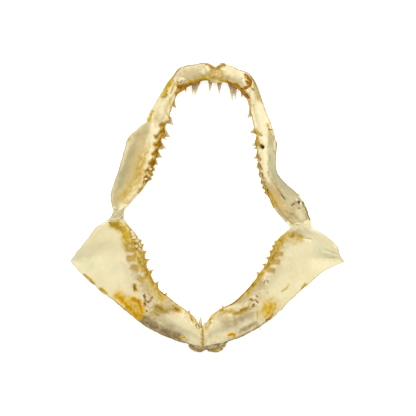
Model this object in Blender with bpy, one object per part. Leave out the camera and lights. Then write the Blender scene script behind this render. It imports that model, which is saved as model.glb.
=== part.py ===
"""Dried shark jaw, life size, opened flat and lying on its outer side.

Four jaw cartilages with their teeth, a ligament at each jaw joint, and the tissue of the
upper and lower symphysis. The mouth's front-to-back plane is the floor: +X runs to the
picture's right, +Y to the upper jaw's front and +Z out of the inner (tongue) side.
"""
import math
from collections import namedtuple

import bmesh
import bpy
import numpy as np

MM = 0.001

# ---- driving dimensions, in millimetres ------------------------------------------------------
RING = 16                 # corners round one section of cartilage
UPPER_ROWS = 32           # rings along an upper half
LOWER_ROWS = 26           # rings along a lower half
GAP = 0.35                # clearance between a cartilage and the tissue beside it
CENTRE = (0.5, 0.0)       # brings the middle of the floor outline to the origin
SETTLE = 1.0              # how far the outer side is worn flat where it lies on the floor
GROOVE_DEPTH = 0.7        # dental groove behind the tooth row
TOOTH_CORNERS = 8
TOOTH_BURIED = 1.6        # how far a root is set into the rim

# One section of cartilage: its rim (tooth) end, its outer edge, the thickness of the bar
# along the rim, that of the lip at the outer edge, the bar's width, and how far the plate
# between them dips.
Section = namedtuple("Section", "name rim edge bar lip width dip")

UPPER_LEFT = [
    Section("symphysis", (2.5, 65.0, 4.0), (2.5, 72.7, 5.0), 6.5, 4.5, 5.0, 0.0),
    Section("lobe", (0.2, 65.8, 4.0), (0.6, 74.7, 5.0), 7.5, 5.0, 5.5, 0.0),
    Section("bulla", (-6.5, 64.5, 3.6), (-8.0, 74.0, 4.5), 8.4, 5.5, 6.0, 0.0),
    Section("shoulder", (-12.0, 62.0, 4.0), (-14.8, 72.3, 5.0), 8.0, 5.5, 6.0, 0.0),
    Section("corner", (-16.4, 58.5, 6.0), (-19.5, 66.2, 7.5), 6.0, 4.5, 5.0, 0.0),
    Section("neck", (-18.3, 53.2, 9.0), (-25.0, 57.3, 10.5), 5.2, 3.5, 5.0, 0.0),
    Section("arm", (-19.8, 47.5, 11.5), (-29.0, 50.2, 13.0), 5.0, 2.8, 5.5, 0.0),
    Section("arm_end", (-21.0, 42.5, 13.5), (-32.2, 44.2, 15.5), 4.8, 2.0, 6.0, 0.3),
    Section("flange_top", (-21.8, 39.7, 14.3), (-35.6, 40.3, 18.6), 4.7, 1.6, 6.0, 1.0),
    Section("flange_front", (-22.6, 37.3, 15.0), (-39.6, 36.6, 21.5), 4.6, 1.4, 6.0, 2.0),
    Section("flange", (-25.0, 29.5, 17.5), (-42.0, 29.0, 25.5), 4.4, 1.2, 5.5, 3.0),
    Section("waist", (-27.5, 21.5, 19.5), (-44.2, 21.0, 28.0), 4.2, 1.2, 5.0, 3.0),
    Section("flange_back", (-30.4, 13.2, 22.0), (-47.2, 12.5, 29.0), 4.0, 1.2, 4.5, 2.2),
    Section("heel", (-36.5, 5.6, 24.0), (-48.7, 4.5, 28.5), 3.8, 1.6, 4.0, 1.0),
    Section("joint", (-41.8, -0.6, 25.5), (-47.6, -1.0, 27.0), 3.4, 2.6, 3.0, 0.0),
]
UPPER_RIGHT = [
    Section("symphysis", (5.0, 65.0, 4.0), (5.0, 72.7, 5.0), 6.5, 4.5, 5.0, 0.0),
    Section("lobe", (7.8, 65.0, 4.0), (7.9, 74.8, 5.0), 7.5, 5.0, 5.5, 0.0),
    Section("bulla", (13.0, 63.0, 3.6), (15.7, 72.0, 4.5), 8.4, 5.5, 6.0, 0.0),
    Section("shoulder", (18.0, 60.0, 4.0), (21.9, 69.3, 5.0), 8.0, 5.5, 6.0, 0.0),
    Section("corner", (21.0, 56.0, 6.5), (25.7, 63.3, 8.5), 6.0, 4.5, 5.0, 0.0),
    Section("neck", (22.0, 50.5, 9.5), (28.5, 53.5, 12.0), 5.2, 3.5, 5.0, 0.0),
    Section("arm_end", (24.5, 38.5, 14.0), (33.5, 38.5, 20.0), 4.8, 2.0, 5.5, 0.5),
    Section("flange_front", (25.5, 32.0, 15.5), (34.5, 31.5, 27.5), 4.6, 1.4, 5.5, 1.5),
    Section("flange", (26.0, 26.0, 17.0), (34.0, 25.0, 31.5), 4.4, 1.2, 5.0, 2.0),
    Section("waist", (27.0, 18.0, 18.5), (34.4, 18.5, 33.5), 4.2, 1.2, 5.0, 2.0),
    Section("heel", (34.5, -1.3, 23.0), (49.1, 1.7, 29.5), 3.8, 1.6, 4.5, 1.0),
    Section("joint", (40.5, -8.3, 25.0), (52.0, -7.9, 27.0), 3.4, 2.6, 4.0, 0.0),
]
LOWER_LEFT = [
    Section("symphysis", (-3.7, -62.0, 4.2), (-3.7, -71.5, 3.4), 6.0, 4.0, 5.0, 0.0),
    Section("chin", (-6.3, -57.3, 4.2), (-9.6, -70.9, 3.4), 7.2, 4.0, 6.5, 0.0),
    Section("bulla", (-11.0, -53.0, 3.6), (-18.2, -68.1, 3.4), 9.0, 3.6, 8.5, 0.0),
    Section("cheek", (-17.8, -48.0, 4.8), (-29.3, -63.1, 5.2), 8.0, 3.0, 8.5, 0.5),
    Section("body", (-23.5, -43.0, 7.5), (-38.0, -56.0, 11.0), 5.8, 2.2, 9.5, 1.0),
    Section("plate", (-30.5, -30.5, 13.5), (-55.9, -40.9, 23.0), 4.8, 1.3, 10.5, 2.0),
    Section("plate_fold", (-31.6, -25.6, 15.7), (-66.0, -30.4, 29.6), 4.7, 1.2, 10.5, 2.5),
    Section("plate_corner", (-32.0, -23.5, 16.5), (-68.9, -26.3, 31.0), 4.6, 1.2, 10.5, 2.5),
    Section("corner_back", (-32.6, -21.3, 17.3), (-67.0, -23.4, 31.2), 4.5, 1.2, 10.2, 2.4),
    Section("plate_back", (-34.2, -16.8, 19.5), (-62.5, -18.0, 31.0), 4.4, 1.2, 9.5, 2.0),
    Section("heel", (-37.4, -11.4, 22.0), (-56.5, -10.5, 29.0), 4.2, 1.6, 7.0, 1.2),
    Section("joint", (-42.0, -6.0, 24.5), (-51.0, -6.2, 26.5), 3.8, 2.8, 4.0, 0.0),
]
LOWER_RIGHT = [
    Section("symphysis", (-1.8, -62.0, 4.2), (-1.8, -71.5, 3.4), 6.0, 4.0, 5.0, 0.0),
    Section("chin", (0.5, -57.0, 4.2), (4.0, -70.8, 3.4), 7.2, 4.0, 6.5, 0.0),
    Section("bulla", (5.7, -52.5, 3.6), (13.7, -68.0, 3.4), 9.0, 3.6, 8.5, 0.0),
    Section("cheek", (13.0, -48.6, 4.8), (24.5, -62.7, 5.2), 8.0, 3.0, 8.5, 0.5),
    Section("body", (19.3, -42.9, 7.5), (33.5, -56.0, 11.0), 5.8, 2.2, 7.8, 1.0),
    Section("plate", (28.4, -30.6, 13.5), (51.4, -38.3, 23.0), 4.8, 1.3, 7.0, 2.0),
    Section("plate_fold", (30.0, -28.5, 15.0), (58.5, -31.8, 27.0), 4.7, 1.2, 6.8, 2.3),
    Section("corner_front", (31.1, -26.0, 15.8), (64.4, -28.6, 29.6), 4.6, 1.2, 6.7, 2.4),
    Section("plate_corner", (31.6, -24.5, 16.5), (68.5, -26.6, 31.0), 4.6, 1.2, 6.6, 2.5),
    Section("corner_back", (32.4, -22.0, 17.4), (66.2, -23.2, 31.2), 4.5, 1.2, 6.4, 2.3),
    Section("plate_back", (34.5, -17.5, 19.5), (64.6, -19.1, 31.0), 4.4, 1.2, 6.2, 2.0),
    Section("heel", (38.4, -12.7, 22.0), (58.4, -13.5, 29.0), 4.2, 1.6, 5.5, 1.2),
    Section("joint", (42.0, -10.0, 24.5), (52.0, -9.8, 26.5), 3.8, 2.8, 4.0, 0.0),
]

# One tooth: its distance from the symphysis along the rim, how far it stands out, its width
# at the rim and its lean to the joint.
Tooth = namedtuple("Tooth", "at height width lean")
UPPER_LEFT_TEETH = [
    Tooth(1.3, 6.4, 2.0, 0.04), Tooth(8.7, 7.4, 2.9, 0.27), Tooth(10.5, 6.5, 1.8, 0.25),
    Tooth(15.2, 2.8, 1.6, 0.0), Tooth(27.1, 4.2, 2.7, 0.38), Tooth(37.2, 4.9, 3.2, 0.54),
    Tooth(45.0, 4.7, 3.2, 0.54), Tooth(51.7, 4.1, 3.0, 0.47), Tooth(56.9, 3.4, 2.6, 0.47),
    Tooth(61.2, 2.4, 2.3, 0.60), Tooth(64.8, 1.7, 1.9, 0.56), Tooth(67.7, 1.2, 1.6, 0.60),
    Tooth(70.2, 1.0, 1.4, 0.70),
]
UPPER_RIGHT_TEETH = [
    Tooth(0.9, 7.0, 2.4, -0.05), Tooth(7.6, 8.3, 2.9, 0.24), Tooth(9.2, 7.0, 2.0, 0.36),
    Tooth(14.7, 3.4, 1.9, 0.05), Tooth(28.6, 4.2, 2.9, 0.59), Tooth(38.7, 3.9, 3.1, 0.26),
    Tooth(45.4, 3.7, 2.7, 0.48), Tooth(47.4, 3.8, 1.5, 0.42), Tooth(52.4, 4.0, 2.6, 0.44),
    Tooth(57.3, 3.0, 2.2, 0.30), Tooth(61.6, 2.3, 2.1, 0.33), Tooth(65.4, 1.2, 1.8, 0.30),
    Tooth(68.1, 1.1, 1.6, 0.50), Tooth(70.9, 0.9, 1.3, 0.30),
]
LOWER_LEFT_TEETH = [
    Tooth(0.9, 5.2, 2.0, -0.25), Tooth(10.4, 2.2, 1.2, 0.1), Tooth(25.8, 2.3, 1.3, 0.0),
    Tooth(33.7, 3.0, 1.4, 0.0), Tooth(41.3, 3.6, 1.6, 0.0), Tooth(48.2, 3.0, 1.5, 0.1),
    Tooth(53.0, 2.0, 1.3, 0.2), Tooth(57.2, 1.4, 1.1, 0.2), Tooth(59.9, 1.2, 1.0, 0.2),
]
LOWER_RIGHT_TEETH = [
    Tooth(14.8, 1.9, 1.2, 0.1), Tooth(41.9, 2.6, 1.4, 0.0), Tooth(48.3, 3.0, 1.5, 0.0),
    Tooth(52.6, 3.0, 1.5, 0.0), Tooth(56.5, 1.9, 1.2, 0.1), Tooth(59.9, 1.4, 1.1, 0.2),
    Tooth(62.6, 1.1, 1.0, 0.2),
]


def smooth(low, high, x):
    """0 below low, 1 above high, with an even rise between."""
    t = np.clip((x - low) / (high - low), 0.0, 1.0)
    return t * t * (3.0 - 2.0 * t)


def unit(vectors):
    return vectors / np.linalg.norm(vectors, axis=-1, keepdims=True)


class Cartilage:
    """A half jaw: sections joined by a smooth curve through their numbers."""

    def __init__(self, sections):
        self.numbers = np.array([[*s.rim, *s.edge, s.bar, s.lip, s.width, s.dip] for s in sections])
        middle = (self.numbers[:, 0:3] + self.numbers[:, 3:6]) / 2
        steps = np.linalg.norm(np.diff(middle, axis=0), axis=1)
        self.knots = np.concatenate([[0.0], np.cumsum(steps)]) / steps.sum()
        self.slopes = np.gradient(self.numbers, self.knots, axis=0)

    def at(self, run):
        """The section's numbers at run, 0 at the symphysis and 1 at the joint."""
        run = np.atleast_1d(np.asarray(run, float))
        i = np.clip(np.searchsorted(self.knots, run, side="right") - 1, 0, len(self.knots) - 2)
        span = self.knots[i + 1] - self.knots[i]
        t = ((run - self.knots[i]) / span)[:, None]
        a, b = self.numbers[i], self.numbers[i + 1]
        slope_a, slope_b = self.slopes[i] * span[:, None], self.slopes[i + 1] * span[:, None]
        return ((2 * t**3 - 3 * t**2 + 1) * a + (t**3 - 2 * t**2 + t) * slope_a
                + (3 * t**2 - 2 * t**3) * b + (t**3 - t**2) * slope_b)

    def frame(self, run):
        """Rim, edge, and the directions along the jaw, across it and out of its inner side."""
        numbers = self.at(run)
        rim, edge = numbers[:, 0:3], numbers[:, 3:6]
        before, after = self.at(np.clip(run, 0.002, 1) - 0.002), self.at(np.clip(run, 0, 0.998) + 0.002)
        along = unit((after[:, 0:3] + after[:, 3:6]) - (before[:, 0:3] + before[:, 3:6]))
        across = unit(edge - rim)
        out = unit(np.cross(across, along))
        out *= np.sign(out[:, 2:3])
        return numbers, rim, edge, along, across, out

    def surface(self, turn, run):
        """A point of the skin: turn goes round the section from the rim over the inner side."""
        turn, run = np.asarray(turn, float), np.asarray(run, float)
        numbers, rim, edge, along, across, out = self.frame(run)
        bar, lip, width, dip = numbers[:, 6], numbers[:, 7], numbers[:, 8], numbers[:, 9]
        angle = 2 * math.pi * turn
        share = (1 - np.cos(angle)) / 2
        reach = np.linalg.norm(edge - rim, axis=1)
        depth = share * reach
        inner = np.sin(angle) > 0
        swell = 1 - smooth(0.55 * width, 1.55 * width, depth)
        groove = GROOVE_DEPTH * np.exp(-((depth - 0.38 * width) / (0.2 * width)) ** 2)
        half = np.where(inner, lip / 2 + (bar - lip) * 0.62 * swell - groove,
                        -lip / 2 - (bar - lip) * 0.38 * swell)
        sink = dip * np.sin(math.pi * np.clip((share - 0.12) / 0.88, 0, 1)) ** 1.3
        lift = half * np.abs(np.sin(angle)) ** 0.6 - sink
        point = rim + (edge - rim) * share[:, None] + out * lift[:, None]
        point[:, 2] = np.maximum(point[:, 2], SETTLE)
        return point

    def run_at(self, distance):
        """The run whose rim point is this far from the symphysis along the rim."""
        runs = np.linspace(0, 1, 400)
        rim = self.at(runs)[:, 0:3]
        lengths = np.concatenate([[0.0], np.cumsum(np.linalg.norm(np.diff(rim, axis=0), axis=1))])
        return float(np.interp(distance, lengths, runs))


def colour(name, rgb, roughness):
    material = bpy.data.materials.new(name)
    material.use_nodes = True
    shader = material.node_tree.nodes["Principled BSDF"]
    shader.inputs["Base Color"].default_value = (*rgb, 1.0)
    shader.inputs["Roughness"].default_value = roughness
    shader.inputs["Metallic"].default_value = 0.0
    material.diffuse_color = (*rgb, 1.0)
    return material


def skin(bm, columns, rows, shape):
    """Add one closed body: a grid rolled up by shape(turn, run), welded and filled at its ends."""
    verts = bmesh.ops.create_grid(bm, x_segments=columns, y_segments=rows, size=0.5)["verts"]
    flat = np.array([vert.co[:2] for vert in verts]) + 0.5
    turn = np.where(flat[:, 0] > 1 - 0.25 / columns, 0.0, flat[:, 0])
    for vert, point in zip(verts, shape(turn, np.clip(flat[:, 1], 0, 1))):
        vert.co = np.add(point, (CENTRE[0], CENTRE[1], -SETTLE)) * MM
    bmesh.ops.remove_doubles(bm, verts=verts, dist=1e-6)
    edges = [edge for edge in bm.edges if edge.is_boundary]
    bmesh.ops.holes_fill(bm, edges=edges, sides=0)


def body(name, bm, material, cutter=False):
    bmesh.ops.recalc_face_normals(bm, faces=bm.faces)
    mesh = bpy.data.meshes.new(name)
    bm.to_mesh(mesh)
    bm.free()
    mesh.materials.append(material)
    mesh.shade_smooth()
    mesh.set_sharp_from_angle(angle=math.radians(50))
    thing = bpy.data.objects.new(name, mesh)
    bpy.context.scene.collection.objects.link(thing)
    if cutter:
        thing.hide_render = True
        thing.display_type = "WIRE"
    return thing


def unite(target, other):
    """Join other to target. Its own bodies may cross, as the tips of a double tooth do."""
    union = target.modifiers.new("unite", "BOOLEAN")
    union.operation = "UNION"
    union.solver = "EXACT"
    union.use_self = True
    union.object = other


def crown(bm, jaw, tooth, rise):
    """One crown on its root: oval in section, tapering to a point that curves to the joint."""
    _, rim, _, along, across, out = jaw.frame([jaw.run_at(tooth.at)])
    level = -across[0] * (1.0, 1.0, 0.35)
    up = unit(unit(level) + along[0] * tooth.lean + out[0] * rise)
    side = unit(along[0] - up * np.dot(along[0], up))
    face = np.cross(up, side)
    foot = rim[0] - out[0] * 0.25

    def shape(turn, run):
        lift = np.interp(run, (0, 0.25, 1), (-TOOTH_BURIED, 0, tooth.height))
        share = np.clip(lift / tooth.height, 0, 1)
        taper = (1 - share) ** 0.78 * 0.97 + 0.03
        angle = 2 * math.pi * turn
        broad = 0.5 * tooth.width * taper * np.cos(angle) + 0.12 * tooth.width * share**2
        thick = 0.24 * tooth.width * taper * np.sin(angle)
        return foot + up * lift[:, None] + side * broad[:, None] + face * thick[:, None]

    skin(bm, TOOTH_CORNERS, 4, shape)


def half_jaw(name, jaw, rows, teeth, rise, material):
    """A cartilage united with its teeth."""
    bm = bmesh.new()
    skin(bm, RING, rows, jaw.surface)
    cartilage = body(name, bm, material)
    bm = bmesh.new()
    for one in teeth:
        crown(bm, jaw, one, rise)
    unite(cartilage, body(name + "_teeth", bm, material, cutter=True))


def between(name, first, second, rows, waist, material, reach=1.0):
    """Tissue that runs from one cartilage's end ring to another's, a little thinner midway.

    A reach over 1 carries it past the outer edge, where a hem can be united with it.
    """
    ends = []
    for jaw, end in (first, second):
        ring = jaw.surface(np.linspace(0, 1, RING + 1)[:-1], np.full(RING, float(end)))
        ends.append((ring, unit(np.cross(ring[4] - ring[0], ring[12] - ring[0]))))
    heading = ends[1][0].mean(axis=0) - ends[0][0].mean(axis=0)
    rings = []
    for (ring, normal), sense in zip(ends, (1, -1)):
        rings.append(ring + normal * np.sign(np.dot(normal, heading)) * sense * GAP)

    def shape(turn, run):
        corner = np.round(turn * RING).astype(int) % RING
        run = run[:, None]
        point = rings[0][corner] * (1 - run) + rings[1][corner] * run
        middle = rings[0].mean(axis=0) * (1 - run) + rings[1].mean(axis=0) * run
        point = middle + (point - middle) * (0.94 - waist * np.sin(math.pi * run))
        outer = (1 - np.cos(2 * math.pi * turn)) / 2 > 0.8
        point[outer] += (point[outer] - middle[outer]) * (reach - 1) * 2
        return point

    bm = bmesh.new()
    skin(bm, RING, rows, shape)
    return body(name, bm, material)


def hem(left, right, name, material):
    """Ragged skin left under the chin: a thin strip that follows the two outer edges."""
    runs = np.linspace(0, 0.3, 40)
    edge = np.concatenate([left.at(runs)[::-1, 3:6], right.at(runs)[:, 3:6]])
    low, high, drop = -11.0, 7.8, 2.2

    def shape(turn, run):
        x = low + (high - low) * run
        top = np.interp(x, edge[:, 0], edge[:, 1]) - GAP - 0.25
        depth = 0.9 + drop * np.sin(math.pi * run) ** 0.5 * (0.75 + 0.25 * np.sin(17 * run))
        angle = 2 * math.pi * turn
        share = (1 - np.cos(angle)) / 2
        z = 2.9 - 1.2 * share + 0.55 * np.sign(np.sin(angle)) * np.abs(np.sin(angle)) ** 0.6
        return np.stack([x, top - depth * share, z], axis=1)

    bm = bmesh.new()
    skin(bm, 8, 14, shape)
    return body(name, bm, material, cutter=True)


for thing in list(bpy.data.objects):
    bpy.data.objects.remove(thing, do_unlink=True)

CARTILAGE = colour("cartilage", (0.80, 0.72, 0.55), 0.45)
LIGAMENT = colour("ligament", (0.62, 0.52, 0.40), 0.35)
TISSUE = colour("symphysis_tissue", (0.55, 0.40, 0.20), 0.40)

upper_left, upper_right = Cartilage(UPPER_LEFT), Cartilage(UPPER_RIGHT)
lower_left, lower_right = Cartilage(LOWER_LEFT), Cartilage(LOWER_RIGHT)

half_jaw("upper_jaw_left", upper_left, UPPER_ROWS, UPPER_LEFT_TEETH, 0.10, CARTILAGE)
half_jaw("upper_jaw_right", upper_right, UPPER_ROWS, UPPER_RIGHT_TEETH, 0.10, CARTILAGE)
half_jaw("lower_jaw_left", lower_left, LOWER_ROWS, LOWER_LEFT_TEETH, -0.15, CARTILAGE)
half_jaw("lower_jaw_right", lower_right, LOWER_ROWS, LOWER_RIGHT_TEETH, -0.15, CARTILAGE)
between("jaw_joint_left", (upper_left, 1), (lower_left, 1), 4, 0.16, LIGAMENT)
between("jaw_joint_right", (upper_right, 1), (lower_right, 1), 3, 0.0, LIGAMENT)
between("upper_symphysis", (upper_left, 0), (upper_right, 0), 3, 0.04, TISSUE)
chin = between("lower_symphysis", (lower_left, 0), (lower_right, 0), 2, 0.0, TISSUE, reach=1.25)
unite(chin, hem(lower_left, lower_right, "chin_hem", TISSUE))
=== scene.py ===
# %% [markdown]
# # A dried shark jaw
# Four jaw cartilages, two above and two below, with their teeth, held together by dried
# ligament at the joints and by tissue at the two fronts. The jaw lies opened flat with its
# inner side up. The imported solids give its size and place; this lesson builds the surface
# that is seen: mottled cartilage, rows of teeth, gum, ligament and the stains of drying.

# %% Load the frame and keep its box
import math
from collections import namedtuple

import bmesh
import bpy
import numpy as np
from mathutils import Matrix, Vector


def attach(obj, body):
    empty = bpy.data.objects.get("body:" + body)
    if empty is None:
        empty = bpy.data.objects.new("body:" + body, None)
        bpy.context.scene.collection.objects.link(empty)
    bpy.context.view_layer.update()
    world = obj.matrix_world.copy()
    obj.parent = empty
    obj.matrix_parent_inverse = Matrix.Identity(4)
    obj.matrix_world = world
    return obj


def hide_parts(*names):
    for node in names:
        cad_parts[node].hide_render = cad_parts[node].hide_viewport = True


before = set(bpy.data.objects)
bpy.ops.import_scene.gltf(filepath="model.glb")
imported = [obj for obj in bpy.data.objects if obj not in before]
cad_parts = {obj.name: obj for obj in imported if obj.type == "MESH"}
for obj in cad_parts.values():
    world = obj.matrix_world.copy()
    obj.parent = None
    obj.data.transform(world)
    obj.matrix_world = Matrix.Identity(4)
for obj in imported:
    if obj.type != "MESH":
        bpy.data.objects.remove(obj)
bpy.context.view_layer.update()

MM = 0.001
SHIFT = np.array([0.5, 0.0, -1.0])   # from the jaw's own measures to the frame, in millimetres
FLOOR = -SHIFT[2]                    # the floor's height in the jaw's own measures

# %% [markdown]
# ## Measures
# Each half jaw is a run of cross-sections, from the symphysis at the front to the joint at
# the back. A section has a rim, where the teeth stand, an outer edge, the thickness of the
# bar along the rim and of the lip at the edge, the bar's width, and how far the plate
# between them dips. A lofted surface through a few named sections keeps the whole jaw easy
# to change, which a sculpted mesh would not.

# %% The sections of the four halves
Section = namedtuple("Section", "name rim edge bar lip width dip")

UPPER_LEFT = [
    Section("symphysis", (2.5, 65.0, 4.0), (2.5, 72.7, 5.0), 6.5, 4.5, 5.0, 0.0),
    Section("lobe", (0.2, 65.8, 4.0), (0.6, 74.7, 5.0), 7.5, 5.0, 5.5, 0.0),
    Section("bulla", (-6.5, 64.5, 3.6), (-8.0, 74.0, 4.5), 8.4, 5.5, 6.0, 0.0),
    Section("shoulder", (-12.0, 62.0, 4.0), (-14.8, 72.3, 5.0), 8.0, 5.5, 6.0, 0.0),
    Section("corner", (-16.4, 58.5, 6.0), (-19.5, 66.2, 7.5), 6.0, 4.5, 5.0, 0.0),
    Section("neck", (-18.3, 53.2, 9.0), (-25.0, 57.3, 10.5), 5.2, 3.5, 5.0, 0.0),
    Section("arm", (-19.8, 47.5, 11.5), (-29.0, 50.2, 13.0), 5.0, 2.8, 5.5, 0.0),
    Section("arm_end", (-21.0, 42.5, 13.5), (-32.2, 44.2, 15.5), 4.8, 2.0, 6.0, 0.3),
    Section("flange_top", (-21.8, 39.7, 14.3), (-35.6, 40.3, 18.6), 4.7, 1.6, 6.0, 1.0),
    Section("flange_front", (-22.6, 37.3, 15.0), (-39.6, 36.6, 21.5), 4.6, 1.4, 6.0, 2.0),
    Section("flange", (-25.0, 29.5, 17.5), (-42.0, 29.0, 25.5), 4.4, 1.2, 5.5, 3.0),
    Section("waist", (-27.5, 21.5, 19.5), (-44.2, 21.0, 28.0), 4.2, 1.2, 5.0, 3.0),
    Section("flange_back", (-30.4, 13.2, 22.0), (-47.2, 12.5, 29.0), 4.0, 1.2, 4.5, 2.2),
    Section("heel", (-36.5, 5.6, 24.0), (-48.7, 4.5, 28.5), 3.8, 1.6, 4.0, 1.0),
    Section("joint", (-41.8, -0.6, 25.5), (-47.6, -1.0, 27.0), 3.4, 2.6, 3.0, 0.0),
]
UPPER_RIGHT = [
    Section("symphysis", (5.0, 65.0, 4.0), (5.0, 72.7, 5.0), 6.5, 4.5, 5.0, 0.0),
    Section("lobe", (7.8, 65.0, 4.0), (7.9, 74.8, 5.0), 7.5, 5.0, 5.5, 0.0),
    Section("bulla", (13.0, 63.0, 3.6), (15.7, 72.0, 4.5), 8.4, 5.5, 6.0, 0.0),
    Section("shoulder", (18.0, 60.0, 4.0), (21.9, 69.3, 5.0), 8.0, 5.5, 6.0, 0.0),
    Section("corner", (21.0, 56.0, 6.5), (25.7, 63.3, 8.5), 6.0, 4.5, 5.0, 0.0),
    Section("neck", (22.0, 50.5, 9.5), (28.5, 53.5, 12.0), 5.2, 3.5, 5.0, 0.0),
    Section("arm_end", (24.5, 38.5, 14.0), (33.5, 38.5, 20.0), 4.8, 2.0, 5.5, 0.5),
    Section("flange_front", (25.5, 32.0, 15.5), (34.5, 31.5, 27.5), 4.6, 1.4, 5.5, 1.5),
    Section("flange", (26.0, 26.0, 17.0), (34.0, 25.0, 31.5), 4.4, 1.2, 5.0, 2.0),
    Section("waist", (27.0, 18.0, 18.5), (34.4, 18.5, 33.5), 4.2, 1.2, 5.0, 2.0),
    Section("heel", (34.5, -1.3, 23.0), (49.1, 1.7, 29.5), 3.8, 1.6, 4.5, 1.0),
    Section("joint", (40.5, -8.3, 25.0), (52.0, -7.9, 27.0), 3.4, 2.6, 4.0, 0.0),
]
LOWER_LEFT = [
    Section("symphysis", (-3.7, -62.0, 4.2), (-3.7, -71.5, 3.4), 6.0, 4.0, 5.0, 0.0),
    Section("chin", (-6.3, -57.3, 4.2), (-9.6, -70.9, 3.4), 7.2, 4.0, 6.5, 0.0),
    Section("bulla", (-11.0, -53.0, 3.6), (-18.2, -68.1, 3.4), 9.0, 3.6, 8.5, 0.0),
    Section("cheek", (-17.8, -48.0, 4.8), (-29.3, -63.1, 5.2), 8.0, 3.0, 8.5, 0.5),
    Section("body", (-23.5, -43.0, 7.5), (-38.0, -56.0, 11.0), 5.8, 2.2, 9.5, 1.0),
    Section("plate", (-30.5, -30.5, 13.5), (-55.9, -40.9, 23.0), 4.8, 1.3, 10.5, 2.0),
    Section("plate_fold", (-31.6, -25.6, 15.7), (-66.0, -30.4, 29.6), 4.7, 1.2, 10.5, 2.5),
    Section("plate_corner", (-32.0, -23.5, 16.5), (-68.9, -26.3, 31.0), 4.6, 1.2, 10.5, 2.5),
    Section("corner_back", (-32.6, -21.3, 17.3), (-67.0, -23.4, 31.2), 4.5, 1.2, 10.2, 2.4),
    Section("plate_back", (-34.2, -16.8, 19.5), (-62.5, -18.0, 31.0), 4.4, 1.2, 9.5, 2.0),
    Section("heel", (-37.4, -11.4, 22.0), (-56.5, -10.5, 29.0), 4.2, 1.6, 7.0, 1.2),
    Section("joint", (-42.0, -6.0, 24.5), (-51.0, -6.2, 26.5), 3.8, 2.8, 4.0, 0.0),
]
LOWER_RIGHT = [
    Section("symphysis", (-1.8, -62.0, 4.2), (-1.8, -71.5, 3.4), 6.0, 4.0, 5.0, 0.0),
    Section("chin", (0.5, -57.0, 4.2), (4.0, -70.8, 3.4), 7.2, 4.0, 6.5, 0.0),
    Section("bulla", (5.7, -52.5, 3.6), (13.7, -68.0, 3.4), 9.0, 3.6, 8.5, 0.0),
    Section("cheek", (13.0, -48.6, 4.8), (24.5, -62.7, 5.2), 8.0, 3.0, 8.5, 0.5),
    Section("body", (19.3, -42.9, 7.5), (33.5, -56.0, 11.0), 5.8, 2.2, 7.8, 1.0),
    Section("plate", (28.4, -30.6, 13.5), (51.4, -38.3, 23.0), 4.8, 1.3, 7.0, 2.0),
    Section("plate_fold", (30.0, -28.5, 15.0), (58.5, -31.8, 27.0), 4.7, 1.2, 6.8, 2.3),
    Section("corner_front", (31.1, -26.0, 15.8), (64.4, -28.6, 29.6), 4.6, 1.2, 6.7, 2.4),
    Section("plate_corner", (31.6, -24.5, 16.5), (68.5, -26.6, 31.0), 4.6, 1.2, 6.6, 2.5),
    Section("corner_back", (32.4, -22.0, 17.4), (66.2, -23.2, 31.2), 4.5, 1.2, 6.4, 2.3),
    Section("plate_back", (34.5, -17.5, 19.5), (64.6, -19.1, 31.0), 4.4, 1.2, 6.2, 2.0),
    Section("heel", (38.4, -12.7, 22.0), (58.4, -13.5, 29.0), 4.2, 1.6, 5.5, 1.2),
    Section("joint", (42.0, -10.0, 24.5), (52.0, -9.8, 26.5), 3.8, 2.8, 4.0, 0.0),
]
SECTIONS = {"upper_left": UPPER_LEFT, "upper_right": UPPER_RIGHT,
            "lower_left": LOWER_LEFT, "lower_right": LOWER_RIGHT}
for name, sections in SECTIONS.items():
    print(name, len(sections), "sections, from", sections[0].name, "to", sections[-1].name)

# %% [markdown]
# ## Sums for shapes
# Steps with soft ends, humps and slow waves are the letters that every relief below is
# written in. The waves come from their own seed each time, so each run gives the same jaw.

# %% Smooth steps, unit vectors and slow ripples
CREST = 1.6   # waves that pile up higher than this are cut off


def smooth(low, high, x):
    t = np.clip((x - low) / (high - low), 0.0, 1.0)
    return t * t * (3.0 - 2.0 * t)


def hump(middle, half_width, x):
    return np.exp(-((x - middle) / half_width) ** 2)


def unit(vectors):
    return vectors / np.linalg.norm(vectors, axis=-1, keepdims=True)


def ripple(points, wavelength, seed, waves=7):
    """Uneven waves of about one wavelength, from -1 to 1, the same on each run."""
    dice = np.random.default_rng(seed)
    total = np.zeros(len(points))
    for _ in range(waves):
        heading = unit(dice.normal(size=points.shape[1]))
        stretch = wavelength * dice.uniform(0.6, 1.5)
        total += np.sin(points @ heading * 2 * math.pi / stretch + dice.uniform(0, 6.28))
    return np.clip(total / math.sqrt(waves), -CREST, CREST) / CREST


print("a quarter of the way up a smooth step:", smooth(0.0, 1.0, 0.25))
print("a ripple at three spots:", np.round(ripple(np.eye(3), 5.0, 1), 2))

# %% A smooth curve through rows of numbers
class Curve:
    def __init__(self, numbers, places):
        self.numbers = np.array(numbers, float)
        steps = np.linalg.norm(np.diff(places, axis=0), axis=1)
        self.knots = np.concatenate([[0.0], np.cumsum(steps)]) / steps.sum()
        self.slopes = np.gradient(self.numbers, self.knots, axis=0)

    def at(self, run):
        """The numbers at run, 0 at the first row and 1 at the last."""
        run = np.atleast_1d(np.asarray(run, float))
        i = np.clip(np.searchsorted(self.knots, run, side="right") - 1, 0, len(self.knots) - 2)
        span = self.knots[i + 1] - self.knots[i]
        t = ((run - self.knots[i]) / span)[:, None]
        slope_a, slope_b = self.slopes[i] * span[:, None], self.slopes[i + 1] * span[:, None]
        return ((2 * t**3 - 3 * t**2 + 1) * self.numbers[i] + (t**3 - 2 * t**2 + t) * slope_a
                + (3 * t**2 - 2 * t**3) * self.numbers[i + 1] + (t**3 - t**2) * slope_b)


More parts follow.
